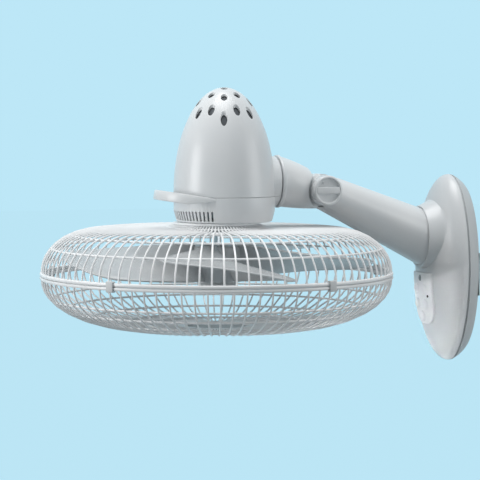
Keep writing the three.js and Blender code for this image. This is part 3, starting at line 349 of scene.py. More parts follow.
# The same with ridges `pitch` millimetres apart: bands across an axis, or rings round z.
def striped(name, shades, pitch, gloss, metallic, **pattern):
    material = moulded(name, shades, gloss, 0.6, 0.15, metallic=metallic)
    tree = material.node_tree
    place = addNode(tree, "ShaderNodeTexCoord").outputs["Object"]
    scale = math.pi / 20 / (pitch * mm)
    bands = addNode(tree, "ShaderNodeTexWave", [("Vector", place)], Scale=scale, **pattern)
    height = [("Height", bands.outputs["Fac"])]
    ridges = addNode(tree, "ShaderNodeBump", height, Strength=0.6, Distance=0.0004)
    tree.links.new(tree.nodes["Principled BSDF"].inputs["Normal"], ridges.outputs["Normal"])
    return material


# steel sheets of 0.5 mm, drawn 1.5 mm apart so that the stack shows
laminations = striped(
    "stacked electrical steel", ("#6c6f71", "#7d8082"), 1.5, (0.4, 0.55), 1.0,
    wave_type="BANDS", bands_direction="Z",
)
# enamelled wire of 0.4 mm, drawn 1.2 mm apart: warm metal in fine rings
windings = striped(
    "enamelled copper wire", ("#a9602f", "#bf7440"), 1.2, (0.28, 0.4), 0.6,
    wave_type="RINGS", rings_direction="Z",
)

cadFinish = {
    "wall_bracket": zincSteel, "control_board": boardGreen, "tilt_bolt": turnedSteel,
    "swing_spindle": turnedSteel, "swing_washer": nylon, "swing_sector": nylon, "spindle_clip": turnedSteel,
    "front_shield": castAlloy, "rear_shield": castAlloy, "head_bracket": zincSteel, "swing_boss": castAlloy,
    "spindle_bush": bronze, "stator_core": laminations, "coil_front": windings, "coil_rear": windings,
    "bearing_front": bronze, "bearing_rear": bronze, "swing_motor": zincSteel, "run_capacitor": nylon,
    "rotor_core": laminations, "motor_shaft": turnedSteel, "swing_pinion": nylon,
}
for name, node in nodes.items():
    kind = cadFinish.get(name, turnedSteel if "screw" in name else plainAbs)
    node.data.materials.clear()
    node.data.materials.append(kind)
print("materials made")

# ---- base: domed shell on a tray
base = {
    "halfWidth": 65.0, "halfHeight": 120.0, "dome": 36.0, "wall": 2.5, "ridge": -21.5,
    "back": -2.5, "backInset": 11.0, "collar": 2.0, "collarY": -62.5, "fillet": 6,
    "groove": 2.6, "hookX": 26.0, "hookLow": 18.2, "hookHigh": 21.3, "hookHalf": 6.3, "wellZ": 92.0,
    "wellRadius": 4.3, "cordHole": 5.0, "cordY": -13.2,
    # the collar's widening into the dome: depth behind its end, growth of its radius
    "flare": (
        (-2, -0.8), (0, 0), (1.5, 0.4), (4, 1.4), (8, 3), (12, 4.8), (16, 6.8), (20, 9.2), (26, 13.5),
        (36, 18),
    ),
}
arm = {
    "tiltY": -199.5, "tiltZ": 102.0, "rootY": -72.0, "rootZ": 46.0, "tip": 22.0, "root": 33.0,
    "tongue": 26.0, "tongueRadius": 20.0, "slotGap": 0.5, "shoulder": 30.0, "chin": -97.0,
    "knobRadius": 18.7, "boltRadius": 4.0,
}
armSlope = math.degrees(math.atan2(arm["tiltZ"] - arm["rootZ"], arm["rootY"] - arm["tiltY"]))
armLength = math.hypot(arm["rootY"] - arm["tiltY"], arm["rootZ"] - arm["tiltZ"])
widening = (arm["root"] - arm["tip"]) / armLength
knobSeat = arm["tip"] + arm["knobRadius"] * widening + 0.3


# The dome's half ellipsoid, grown by `grow`, with a straight skirt behind its ridge if asked for.
def domeForm(name, grow, skirt=0.0, sides=128, steps=26):
    a, c, d = [base[key] + grow for key in ("halfWidth", "halfHeight", "dome")]
    turns = [math.pi / 2 * i / steps for i in range(steps)]
    profile = [(a * math.cos(t), c * math.cos(t), d * math.sin(t)) for t in turns]
    if skirt > 0:
        profile.insert(0, (a, c, -skirt))
    piece = ringForm(name, [*profile, (0, 0, d)], sides)
    return lay(piece, turn=(90, 0, 0), move=(0, base["ridge"], 0))


def armCone(name, grow, start, end, sides=96):
    profile = [(arm["tip"] + grow + widening * s, s) for s in (start, end)]
    piece = ringForm(name, profile, sides)
    lay(piece, turn=(-90, 0, 0))
    return lay(piece, turn=(-armSlope, 0, 0), move=(0, arm["tiltY"], arm["tiltZ"]))


# The y of the dome's face at a place seen from the front.
def domeSurface(x, z):
    a, c, d = base["halfWidth"], base["halfHeight"], base["dome"]
    return base["ridge"] - d * math.sqrt(max(0, 1 - (x / a) ** 2 - (z / c) ** 2))


panel = {
    "halfWidth": 27.0, "top": -6.0, "bottom": -72.0, "lowCorner": 0.8, "topCorner": 5.0,
    "thickness": 3.0, "gap": 0.3, "lip": 3.0, "boardFace": -34.5,
    "buttonRadius": 6.5, "buttonRise": 2.2, "pitchX": 22.0, "pitchZ": 19.0, "topRow": -27.0,
    "windowRadius": 4.0, "windowZ": -13.0, "dot": (18.5, -35.5),
}


# A column along y with the panel's shield outline, made from a cube's front face.
def panelColumn(name, inset, start, end):
    w, top, low = panel["halfWidth"] - inset, panel["top"] - inset, panel["bottom"] + inset
    middle = (top + low) / 2
    piece = box(name, (-w, start, low), (w, end, top))

    def runsInY(edge):
        return abs(edge.verts[0].co.y - edge.verts[1].co.y) > 5 * mm

    startEdit(piece)
    choose(piece, "edges", lambda edge: runsInY(edge) and edge.verts[0].co.z < middle * mm)
    bpy.ops.mesh.bevel(offset=w * panel["lowCorner"] * mm, segments=10, affect="EDGES")
    choose(piece, "edges", lambda edge: runsInY(edge) and edge.verts[0].co.z > (top - 1) * mm)
    bpy.ops.mesh.bevel(offset=panel["topCorner"] * mm, segments=4, affect="EDGES")
    endEdit()
    return piece


def buttonPlaces():
    columns = [-panel["pitchX"] / 2, panel["pitchX"] / 2]
    rows = [panel["topRow"], panel["topRow"] - panel["pitchZ"]]
    return [(x, z) for z in rows for x in columns] + [(0, panel["topRow"] - 2 * panel["pitchZ"] + 3)]


def makeBase():
    # the shell is drawn up round the arm's root into a flat-ended collar
    shell = domeForm("base_cover", 0, skirt=9)
    collar = armCone("collar", base["collar"], 60, 175)
    carve(collar, box("front", (-80, -90, -120), (80, base["ridge"] - 4, 160)), "INTERSECT")
    carve(shell, collar, "UNION")
    slope, reach = math.radians(armSlope), base["collarY"] + 4 - arm["tiltY"]
    root = arm["tip"] + widening * reach / math.cos(slope) + base["collar"]
    flare = ringForm("flare", [
        (root + growth, (root + growth) / math.cos(slope), -base["collarY"] - depth)
        for depth, growth in reversed(base["flare"])
    ], 96)
    lay(flare, turn=(90, 0, 0), move=(0, 0, arm["tiltZ"] - reach * math.tan(slope)))
    carve(shell, flare, "UNION")
    soften(shell, base["fillet"], angle=26, segments=5)
    carve(shell, box("beyond", (-90, -150, -150), (90, base["collarY"], 150)))
    carve(shell, box("behind", (-90, base["ridge"], -150), (90, 10, 150)))
    soften(shell, 0.8, angle=55, segments=3)
    carve(shell, lay(domeForm("hollow", -base["wall"]), move=(0, 0.4, 0)))
    carve(shell, armCone("armHole", 0.4, 40, 260))
    carve(shell, panelColumn("panelHole", panel["lip"], -90, base["ridge"] - 3))
    soften(shell, 0.35, angle=50, segments=2)
    finishPiece(shell, "base", plainAbs, ["base_shell"])

    a, c = base["halfWidth"], base["halfHeight"]
    ab, cb = a - base["backInset"] * 0.75, c - base["backInset"]
    depth, groove = base["back"] - base["ridge"], base["groove"]
    tray = ringForm("base_tray", [
        (ab * 0.955, cb * 0.965, 0), (ab * 0.985, cb * 0.985, 0.5), (ab, cb, 1.8),
        (ab + 2.6, cb + 3.4, 5.0), (a - 2.6, c - 3.4, 10.5), (a - 0.9, c - 1.0, depth - 4.0),
        (a - 0.2, c - 0.3, depth - groove - 0.3), (a - 0.6, c - 0.7, depth - groove),
        (a - 1.9, c - 1.9, depth - groove), (a - 1.9, c - 1.9, depth - 0.4),
    ], 128)
    startEdit(tray)  # the open front: inset the last face and sink it
    front = (depth - 1) * mm
    choose(tray, "faces", lambda face: len(face.verts) > 8 and face.calc_center_median().z > front)
    bpy.ops.mesh.inset(thickness=base["wall"] * mm)
    bpy.ops.mesh.extrude_region_move(TRANSFORM_OT_translate={"value": (0, 0, -(depth - 3.2) * mm)})
    bpy.ops.transform.resize(value=(0.91, 0.93, 1), center_override=(0, 0, 0))
    endEdit()
    lay(tray, turn=(90, 0, 0), move=(0, base["back"], 0))
    half = base["hookHalf"]
    for side in (-1, 1):
        x = side * base["hookX"]
        carve(tray, box("slot", (x - half, -8, base["hookLow"]), (x + half, 0, base["hookHigh"])))
        carve(tray, bar("screwWell", "y", base["wellRadius"], -12, 0, (0, side * base["wellZ"]), 24))
    carve(tray, bar("cordHole", "z", base["cordHole"], -c - 12, -cb + 12, (0, base["cordY"]), 24))
    soften(tray, 0.4, angle=50)
    # the tray takes the deeper grey of painted shade
    finishPiece(tray, "base", shadedAbs, ["base_plate"])
    print("base made")


def makePanel():
    low, thick = panel["gap"], panel["thickness"]
    plate = domeForm("panel_plate", low + thick)
    carve(plate, panelColumn("column", 0, -90, base["ridge"] - 8), "INTERSECT")
    carve(plate, domeForm("under", low))
    soften(plate, 1.1, angle=40, segments=4)
    places = buttonPlaces()
    holes = [bar("hole", "y", panel["buttonRadius"] + 0.25, -90, -30, at, 40) for at in places]
    holes.append(bar("hole", "y", panel["windowRadius"] + 0.3, -90, -30, (0, panel["windowZ"]), 32))
    carve(plate, joinAll(holes))
    soften(plate, 0.35, angle=50)
    # the panel's extra pallor is partly painted light
    finishPiece(plate, "base", paleAbs, ["control_panel"])

    names = ["speed", "swing", "timer", "mode", "power"]
    r = panel["buttonRadius"]
    for name, (x, z) in zip(names, places):
        crown = domeSurface(x, z) - thick - low - panel["buttonRise"]
        foot = panel["boardFace"] - crown
        cap = ringForm(f"{name}_cap", [
            (r + 1.5, 0), (r + 1.5, 1.5), (r, 1.5), (r, foot - 1.4), (r - 0.35, foot - 0.6),
            (r - 1.2, foot), (r - 2.2, foot + 0.1), (1.6, foot - 0.7), (0, foot - 0.75),
        ], 48)
        lay(cap, turn=(90, 0, 0), move=(x, crown + foot, z))
        finishPiece(cap, f"{name}_button", paleAbs, [f"button_{name}"])
    # a dark indicator dot at the panel's side, as the photograph has it
    dotX, dotZ = panel["dot"]
    dotY = domeSurface(dotX, dotZ) - thick - low
    dot = ringForm("indicator_dot", [(1.7, 0), (1.7, 1.4), (1.3, 1.7), (0, 1.8)], 24)
    lay(dot, turn=(90, 0, 18), move=(dotX, dotY + 1.0, dotZ))
    finishPiece(dot, "base", smoked)
    front = domeSurface(0, panel["windowZ"]) - thick - low - 0.6
    lens = ringForm("receiver_lens", [(4, 0), (4, 7.2), (3.4, 7.8), (2, 8.3), (0, 8.5)], 32)
    lay(lens, turn=(90, 0, 0), move=(0, front + 8.2, panel["windowZ"]))
    finishPiece(lens, "base", tinted, ["receiver_window"])
    print("panel and buttons made")


makeBase()
makePanel()


# ---- arm: a cone with a foot inside the base and a forked end
# A slab between two x, its outline given by (y, z) from the tilt axis.
def sideSlab(name, corners, x0, x1):
    bpy.ops.mesh.primitive_circle_add(vertices=3, radius=mm, fill_type="NOTHING")
    piece = named(name)
    startEdit(piece)
    bpy.ops.mesh.delete(type="VERT")
    mesh = bmesh.from_edit_mesh(piece.data)
    mesh.faces.new([
        mesh.verts.new(Vector((x0, arm["tiltY"] + y, arm["tiltZ"] + z)) * mm) for y, z in corners
    ])
    bmesh.update_edit_mesh(piece.data)
    bpy.ops.mesh.select_all(action="SELECT")
    bpy.ops.mesh.extrude_region_move(TRANSFORM_OT_translate={"value": ((x1 - x0) * mm, 0, 0)})
    endEdit()
    return piece


def arc(radius, fromAngle, toAngle, steps):
    turns = [math.radians(fromAngle + (toAngle - fromAngle) * i / steps) for i in range(steps + 1)]
    return [(radius * math.cos(t), radius * math.sin(t)) for t in turns]


def makeArm():
    at = (arm["tiltY"], arm["tiltZ"])
    low, high = arm["chin"], arm["shoulder"]
    trunk = armCone("arm_casting", 0, -arm["tip"] - 6, armLength + 46)
    # the fork's end is round about the tilt axis, the rest runs on between two rays from it
    nose = arc(arm["tip"], high, 360 + low, 60)
    carve(trunk, sideSlab("outline", nose + arc(400, low, high, 12), -59, 59), "INTERSECT")
    half = arm["tongue"] / 2
    for side in (-1, 1):
        ends = sorted((side * (half + 2), side * knobSeat))
        carve(trunk, bar("boss", "x", arm["knobRadius"], *ends, at, 96), "UNION")
    gap = half + arm["slotGap"]
    throat = arc(arm["tongueRadius"] + 1.4, low, high, 32)
    carve(trunk, sideSlab("slot", throat + arc(90, high, 360 + low, 24), -gap, gap))
    soften(trunk, 1.0, angle=48, segments=3)
    carve(trunk, box("wallSide", (-80, -22, -120), (80, 60, 160)))
    carve(trunk, bar("boltHole", "x", arm["boltRadius"] + 0.3, -58, 58, at, 32))
    carve(trunk, bar("headPocket", "x", 7.8, -knobSeat - 1, -knobSeat + 2.5, at, 6))
    finishPiece(trunk, "base", plainAbs, ["arm"])
    print("arm made")


knobShape = {"thick": 13.0, "gripHalf": 4.2, "gripReach": 15.2, "flutes": 24, "fluteRadius": 1.1}


# Upright bars in a ring round z, joined: what they cut from a rim is its flutes.
def fluteTool(count, radius, distance, start, end, sides, shift=0.0):
    turns = [2 * math.pi * (i + shift) / count for i in range(count)]
    return joinAll([
        bar("flute", "z", radius, start, end, (distance * math.cos(t), distance * math.sin(t)), sides)
        for t in turns
    ])


def makeKnob():
    r, seat, thick = arm["knobRadius"], knobSeat + 0.3, knobShape["thick"]
    knob = ringForm("tilt_knob_cap", [
        (r - 1.2, 0), (r - 0.2, 0.8), (r, 2), (r, thick - 2.2), (r - 0.35, thick - 1.2),
        (r - 1.2, thick - 0.35), (r - 2.2, thick), (r - 2.9, thick - 0.2), (r - 3.4, thick - 1.0),
        (r - 3.9, thick - 2.6), (r - 4.8, thick - 3.0), (0, thick - 3.0),
    ], 96)
    half, reach = knobShape["gripHalf"], knobShape["gripReach"]
    grip = box("grip", (-half, -reach, thick - 4), (half, reach, thick - 0.2))
    soften(grip, 1.0, segments=3)
    carve(knob, grip, "UNION")
    flutes, fluteRadius = knobShape["flutes"], knobShape["fluteRadius"]
    carve(knob, fluteTool(flutes, fluteRadius, r + 0.75, 1.5, thick - 2.6, 12, shift=0.5))
    carve(knob, bar("pip", "z", 1.4, thick - 3.8, thick, (-9.5, -7.5), 24))
    carve(knob, bar("bore", "z", arm["boltRadius"] + 0.3, -1, thick - 4, (0, 0), 24))
    soften(knob, 0.3, angle=50)
    lay(knob, turn=(0, 90, 0), move=(seat, arm["tiltY"], arm["tiltZ"]))
    finishPiece(knob, "knob", plainAbs, ["tilt_knob"])
    print("knob made")


makeArm()
makeKnob()

# A body through a row of closed sections, each a list of points in millimetres.
def loftForm(name, sections):
    count = len(sections[0])
    bpy.ops.mesh.primitive_circle_add(vertices=count, radius=mm, fill_type="NGON")
    piece = named(name)
    startEdit(piece)
    for order, section in enumerate(sections):
        if order > 0:
            bpy.ops.mesh.extrude_region_move()
        mesh = bmesh.from_edit_mesh(piece.data)
        mesh.verts.ensure_lookup_table()
        # the picked ring keeps its order: the circle's first, the newest corners after that
        ring = [vertex for vertex in mesh.verts if vertex.select]
        for vertex, place in zip(ring, section):
            vertex.co = Vector(place) * mm
        bmesh.update_edit_mesh(piece.data)
    endEdit()
    return piece


# ---- neck: an elbow from the flange down to a tongue in the arm's fork
neck = {
    "axisZ": 113.0, "flangeY": -257.0, "flange": 33.0, "behind": -253.0, "endTop": (-217.0, 130.5),
    "endLow": (-203.5, 78.2), "endHalf": 25.0, "rings": 9, "sides": 72,
    "seatRadius": 8.3, "seatDepth": 16.3,
}


def neckRing(top, low, halfWidth):
    points = []
    for i in range(neck["sides"]):
        t = 2 * math.pi * i / neck["sides"]
        s = math.sin(t) / 2
        y = (top[0] + low[0]) / 2 + (top[0] - low[0]) * s
        z = (top[1] + low[1]) / 2 + (top[1] - low[1]) * s
        points.append((halfWidth * math.cos(t), y, z))
    return points


# A value that starts at a, goes through b half way and ends at c.
def through(a, b, c, t):
    return a * (1 - t) * (1 - 2 * t) + 4 * b * t * (1 - t) + c * t * (2 * t - 1)


def makeNeck():
    z, r, back = neck["axisZ"], neck["flange"], neck["behind"]
    face = neck["flangeY"]
    flange = [
        (face, r - 1.2), (face + 0.4, r - 0.4), (face + 1.2, r), (back - 0.8, r), (back - 0.2, r - 0.3),
        (back + 0.3, r - 0.9),
    ]
    sections = [neckRing((y, z + size), (y, z - size), size) for y, size in flange]
    first = ((back + 0.6, z + r - 1.4), (back + 0.6, z - r + 1.4), r - 1.4)
    last = (neck["endTop"], neck["endLow"], neck["endHalf"])
    middleTop = ((back + last[0][0]) / 2 + 1, (z + r + last[0][1]) / 2)
    middleLow = ((back + last[1][0]) / 2, (z - r + last[1][1]) / 2 - 0.2)
    middle = (middleTop, middleLow, (r + last[2]) / 2 + 0.5)
    for i in range(neck["rings"] + 1):
        t = i / neck["rings"]
        top, low = [
            tuple(through(first[k][n], middle[k][n], last[k][n], t) for n in (0, 1)) for k in (0, 1)
        ]
        sections.append(neckRing(top, low, through(first[2], middle[2], last[2], t)))
    elbow = loftForm("neck_elbow", sections)
    at, half = (arm["tiltY"], arm["tiltZ"]), arm["tongue"] / 2
    carve(elbow, bar("cheekRoom", "x", arm["tip"] + 1, half, 60, at, 96))
    carve(elbow, bar("cheekRoom", "x", arm["tip"] + 1, -60, -half, at, 96))
    carve(elbow, bar("tongue", "x", arm["tongueRadius"], -half, half, at, 96), "UNION")
    carve(elbow, bar("boltHole", "x", arm["boltRadius"] + 0.3, -60, 60, at, 32))
    carve(elbow, bar("seat", "y", neck["seatRadius"], face - 1, face + neck["seatDepth"], (0, z), 32))
    soften(elbow, 0.6, angle=52, segments=2)
    finishPiece(elbow, "neck", plainAbs, ["neck"])
    print("neck made")


makeNeck()

# ---- motor housing: a bullet-shaped rear cover on a front cover with its crescent handle
housing = {
    "y": -324.0, "radius": 63.0, "wall": 2.5, "seam": 95.5, "base": 101.0, "tip": 230.0, "low": 64.0,
    "taperZ": 78.0, "taper": 3.5, "spigotHole": 20.3,
    "ventRadius": 4.3, "ventPitch": 17.8, "ventField": 48.0, "ventTurn": -18.0,
    # the painted-shade sheet behind the vents: where it starts, its gap to the wall, its thickness
    "shadeSheetLow": 150.0, "shadeSheetGap": 1.2, "shadeSheet": 0.6,
    "slots": 25, "slotStep": 4.9, "slotWidth": 2.5, "slotLow": 2.5, "slotHigh": 14.5,
    "bossHole": 22.5, "bossZ": 113.0, "collar": 31.5, "collarEnd": -258.5,
}
handle = {
    "merge": 27.4, "reach": 27.5, "wall": 4.5, "height": 12.0, "lift": 9.5, "seat": 1.2,
    "taper": 34.0, "taperTurn": 15.0,
}
shaftY = -334.0


def bulletProfile(offset, steps=30):
    r, tip = housing["radius"] + offset, housing["tip"] + offset
    turns = [math.pi / 2 * (i / steps) ** 0.9 for i in range(steps)]
    rounded = [(r * math.cos(t), housing["base"] + (tip - housing["base"]) * math.sin(t)) for t in turns]
    return [*rounded, (0, tip)]


def ventPlaces():
    places = []
    pitch, turn = housing["ventPitch"], math.radians(housing["ventTurn"])
    for column in range(-3, 4):
        for row in range(-3, 4):
            u = column * pitch * math.cos(math.radians(30))
            w = (row + (0.5 if column % 2 == 0 else 0)) * pitch
            if math.hypot(u, w) <= housing["ventField"]:
                places.append((
                    w * math.cos(turn) - u * math.sin(turn),
                    housing["y"] + w * math.sin(turn) + u * math.cos(turn),
                ))
    return places


# The collar round the swing boss, nearly up to the neck's flange; each cover carries its part.
def bossCollar(low, high):
    ring = bar("collar", "y", housing["collar"], -285, housing["collarEnd"], (0, housing["bossZ"]), 96)
    soften(ring, 0.8, angle=60, segments=3)
    return carve(ring, box("part", (-60, -300, low), (60, -240, high)), "INTERSECT")


def bossHole():
    return bar("bossHole", "y", housing["bossHole"], housing["y"], -250, (0, housing["bossZ"]), 64)


def makeRearCover():
    r, wall, seam = housing["radius"], housing["wall"], housing["seam"]
    cover = ringForm("rear_shell", [(r - 0.5, seam), (r, seam + 0.5), *bulletProfile(0)], 128)
    lay(cover, move=(0, housing["y"], 0))
    carve(cover, bossCollar(seam, 160), "UNION")
    inside = ringForm("inside", [(r - wall, seam - 1), *bulletProfile(-wall)], 96)
    carve(cover, lay(inside, move=(0, housing["y"], 0)))
    drills = [bar("drill", "z", housing["ventRadius"], 105, 235, at, 36) for at in ventPlaces()]
    carve(cover, joinAll(drills))
    carve(cover, bossHole())
    soften(cover, 0.55, angle=45, segments=3)
    finishPiece(cover, "head", plainAbs, ["rear_cover"])

    # a dark sheet behind the vents as painted shade for the housing's dark inside, so that no light comes
    # through the housing
    gap, thick, start = wall + housing["shadeSheetGap"], housing["shadeSheet"], housing["shadeSheetLow"]
    outer = [ring for ring in bulletProfile(-gap) if ring[1] > start + 2]
    inner = [ring for ring in bulletProfile(-gap - thick) if ring[1] > start + 1]
    shadeSheet = ringForm("vent_shade_sheet", [(r - gap, start), *outer], 72)
    carve(shadeSheet, ringForm("under", [(r, start - 1), *inner], 72))
    finishPiece(lay(shadeSheet, move=(0, housing["y"], 0)), "head", paintedShadeSheet)
    print("rear cover made")


def makeHandle():
    r, merge = housing["radius"], math.radians(handle["merge"])
    across, along = (r + 0.5) * math.cos(merge), r * math.sin(merge)
    tip = r + handle["reach"]
    radius = (across ** 2 + (tip - along) ** 2) / (2 * (tip - along))
    height = handle["height"]
    ring = ringForm("handle", [
        (radius - 1.6, 0), (radius - 0.5, 0.4), (radius, 1.6), (radius, height - 1.6),
        (radius - 0.5, height - 0.4), (radius - 1.6, height),
    ], 160)
    inner = radius - handle["wall"]
    carve(ring, ringForm("grasp", [
        (inner + 1.2, -0.01), (inner + 0.35, 0.35), (inner, 1.2), (inner, height - 1.2),
        (inner + 0.35, height - 0.35), (inner + 1.2, height + 0.01),
    ], 160))
    lay(ring, move=(0, -(tip - radius), 0))
    carve(ring, box("front", (-90, -120, -5), (90, -along, height + 5)), "INTERSECT")
    lay(ring, move=(0, along, 0))
    # its lower edge rises towards the two ends
    rise = box("rise", (-90, -handle["taper"] - 60, -30), (90, 60, 0))
    lay(rise, turn=(handle["taperTurn"], 0, 0), move=(0, -handle["taper"], -0.01))
    carve(ring, rise)
    foot = housing["seam"] - handle["seat"] - height
    lay(ring, turn=(-handle["lift"], 0, 0), move=(0, housing["y"] - along, foot))
    core = bar("core", "z", r - 1, 60, 240, (0, 0), 128)
    return carve(ring, lay(core, move=(0, housing["y"], 0)))


def makeFrontCover():
    r, low, wall, top = housing["radius"], housing["low"], housing["wall"], housing["seam"] - 0.3
    rb = r - housing["taper"]
    cover = ringForm("front_shell", [
        (rb - 2, low), (rb - 0.6, low + 0.5), (rb, low + 1.5), (r, housing["taperZ"]), (r, top - 0.5),
        (r - 0.5, top),
    ], 128)
    inside = ringForm("inside", [
        (rb - wall - 1, low + wall), (rb - wall, low + wall + 1), (r - wall, housing["taperZ"]),
        (r - wall, top + 1),
    ], 96)
    lay(cover, move=(0, housing["y"], 0))
    lay(inside, move=(0, housing["y"], 0))
    carve(cover, bossCollar(60, top), "UNION")
    carve(cover, inside)
    carve(cover, makeHandle(), "UNION")
    carve(cover, bar("spigotHole", "z", housing["spigotHole"], 60, 70, (0, shaftY), 64))
    slits, half = [], housing["slotWidth"] / 2
    floor, roof = low + housing["slotLow"], low + housing["slotHigh"]
    for i in range(housing["slots"]):
        slit = box("slit", (-half, -rb - 12, floor), (half, -rb + 12, roof))
        soften(slit, 0.8, segments=2)
        turn = (i - (housing["slots"] - 1) / 2) * housing["slotStep"]
        slits.append(lay(slit, turn=(0, 0, turn), move=(0, housing["y"], 0)))
    carve(cover, joinAll(slits))
    carve(cover, bossHole())
    soften(cover, 0.4, angle=50)
    finishPiece(cover, "head", plainAbs, ["front_cover"])
    print("front cover made")


makeRearCover()
makeFrontCover()

# ---- cage: wires bent over a shoulder, rings across them and a rim
cage = {
    "radius": 219.0, "rimThick": 4.4, "rimHeight": 4.3, "rimZ": -2.0, "rearTop": 55.0, "rearFlat": 150.0,
    "frontLow": -66.0, "frontFlat": 100.0, "wire": 2.3, "ring": 2.6, "rearWires": 96, "frontWires": 90,
    "plateBore": 20.6, "plateRadius": 54.0, "plateZ": 62.5,
    # rings: radii on the flat part, degrees along the shoulder from the flat part's edge
    "rearRings": (69, 78, 87, 95.5, 104), "rearTurns": (26, 54),
    "frontRing": 84, "frontTurns": (10, 30, 49, 64),
}


def shoulderPoint(side, turn, out=0.0):
    flat = cage["rearFlat"] if side > 0 else cage["frontFlat"]
    level = cage["rearTop"] if side > 0 else cage["frontLow"]
    edge = cage["rimZ"] + side * (0.15 + cage["rimHeight"])
    reach = cage["radius"] - cage["rimThick"] / 2 - flat
    s, c = math.sin(math.radians(turn)), math.cos(math.radians(turn))
    return (flat + (reach + out) * s, edge + (level - edge + out * side) * c)


def rimSection(z0, z1):
    r1, r0 = cage["radius"], cage["radius"] - cage["rimThick"]
    return [
        (r0 + 0.8, z0), (r1 - 1.6, z0), (r1 - 0.5, z0 + 0.5), (r1, z0 + 1.6), (r1, z1 - 1.6),
        (r1 - 0.5, z1 - 0.5), (r1 - 1.6, z1), (r0 + 0.8, z1), (r0, z1 - 0.8), (r0, z0 + 0.8),
    ]


def makeGrille(side, name, count, inner, rings, extra):
    path = [*inner, *[shoulderPoint(side, t) for t in (0, 12, 24, 36, 48, 58, 68, 76, 83, 90)]]
    end = cage["rimZ"] + side * (0.15 + cage["rimHeight"] / 2)
    path.append((cage["radius"] - cage["rimThick"] / 2, end))
    stem = wire(f"{name}_wires", [(r, 0, z) for r, z in path], cage["wire"] / 2)
    spinCopies(stem, count)
    parts = [stem]
    for r, z in rings:
        parts.append(ringWire("ring", r, z - side * cage["wire"] * 0.8, cage["ring"]))
    low, high = sorted((cage["rimZ"] + side * 0.15, cage["rimZ"] + side * (0.15 + cage["rimHeight"])))
    parts.append(ringBand("rim", rimSection(low, high), 192))
    parts.extend(extra)
    whole = joinAll(parts)
    lay(whole, move=(0, shaftY, 0))
    finishPiece(whole, "head", dippedWire, [name], angle=40)
    print(name, "made")


def makeCage():
    z, thick, bore, edge = cage["plateZ"], 1.2, cage["plateBore"], cage["plateRadius"]
    plate = ringBand("plate", [
        (bore, z - thick), (44, z - thick), (48, z - thick - 1.6), (51, z - thick - 1.6), (edge, z - thick),
        (edge, z + thick - 0.4), (edge - 1, z + thick), (bore, z + thick),
    ])
    rearInner = [(52, z - 2.4), (56, z - 3.2), (63, 56.2), (70, cage["rearTop"]), (104, cage["rearTop"])]
    rearRings = [(61, 58.6), *[(r, cage["rearTop"]) for r in cage["rearRings"]]]
    rearRings += [shoulderPoint(1, turn) for turn in cage["rearTurns"]]
    makeGrille(1, "rear_grille", cage["rearWires"], rearInner, rearRings, [plate])
    low = cage["frontLow"]
    hubRing = ringBand("hubRing", [(40, low - 1.2), (48, low - 1.2), (48, low + 1.2), (40, low + 1.2)])
    frontRings = [(cage["frontRing"], low), *[shoulderPoint(-1, turn) for turn in cage["frontTurns"]]]
    makeGrille(-1, "front_grille", cage["frontWires"], [(44, low), (70, low)], frontRings, [hubRing])


clip = {"width": 10.0, "wall": 1.6, "turn": 20.5, "count": 5}


def makeClips():
    inner, outer = cage["radius"] + 0.3, cage["radius"] + 0.3 + clip["wall"]
    lip = cage["radius"] - cage["rimThick"] + 1
    reach = 0.15 + cage["rimHeight"] + 0.3
    top, low, wall = cage["rimZ"] + reach, cage["rimZ"] - reach, clip["wall"]
    strip = box("rim_clip", (lip, -clip["width"] / 2, low - wall), (outer, clip["width"] / 2, top + wall))
    startEdit(strip)
    choose(strip, "edges", lambda edge: min(vertex.co.x for vertex in edge.verts) > (outer - 0.1) * mm)
    bpy.ops.mesh.bevel(offset=0.9 * mm, segments=3, affect="EDGES")
    endEdit()
    carve(strip, box("rimRoom", (lip - 1, -20, low), (inner, 20, top)))
    soften(strip, 0.25, angle=50)
    for i in range(clip["count"]):
        copy = duplicate(strip, f"clip_{i + 1}")
        lay(copy, turn=(0, 0, clip["turn"] + i * 360 / clip["count"]), move=(0, shaftY, 0))
        finishPiece(copy, "head", gripAbs, [f"rim_clip_{i + 1}"])
    bpy.data.objects.remove(strip, do_unlink=True)
    print("rim clips made")


def makeHub():
    top = cage["frontLow"] - 1.5
    badge = ringForm("centre_badge", [
        (44, top), (47.4, top), (48, top - 0.4), (48, top - 1.4), (47, top - 2.2), (45.6, top - 2.4),
        (45, top - 2.1), (44.2, top - 2.1), (43.4, top - 2.6), (38, top - 3.4), (30, top - 3.8),
        (18, top - 4.0), (0, top - 4.0),
    ])
    lay(badge, move=(0, shaftY, 0))
    finishPiece(badge, "head", gripAbs, ["front_badge"])

    high = cage["plateZ"] - 1.5
    nut = ringForm("clamp_nut", [(29, high - 10), (30, high - 9), (30, high - 0.6), (29.4, high)], 96)
    carve(nut, fluteTool(8, 3, 31, high - 12, high + 2, 24))
    carve(nut, bar("bore", "z", 20.3, high - 12, high + 2, (0, 0), 48))
    soften(nut, 0.5, angle=50)
    lay(nut, move=(0, shaftY, 0))
    # the nut takes the deeper grey of painted shade
    finishPiece(nut, "head", shadedAbs, ["grille_nut"])
    print("badge and nut made")


makeCage()
makeClips()
makeHub()

# ---- blades: cambered leaves on a hub, with a spinner under it
blades = {
    "count": 5, "root": 28.0, "tip": 195.0, "thick": 2.0, "hub": 30.0, "hubTop": 34.0, "hubLow": -10.0,
    "pitchHeight": 46.0, "camber": 5.0, "across": 20, "along": 24,
}


# Where the leaf's middle face lies: s runs from hub to tip, t from edge to edge
def leafPoint(s, t):
    spread = math.radians(19 + 17 * math.sin(math.pi * min(1, 0.12 + 0.75 * s)))
    r = blades["root"] + (blades["tip"] - blades["root"]) * s - 20 * s * abs(2 * t - 1) ** 3
    angle = math.radians(-14 * s * s) + spread * (2 * t - 1)
    z = (blades["hubTop"] + blades["hubLow"]) / 2 + 2 - blades["pitchHeight"] * (1 - 0.45 * s) * (t - 0.5)
    return (r * math.cos(angle), r * math.sin(angle), z + blades["camber"] * math.sin(math.pi * t))


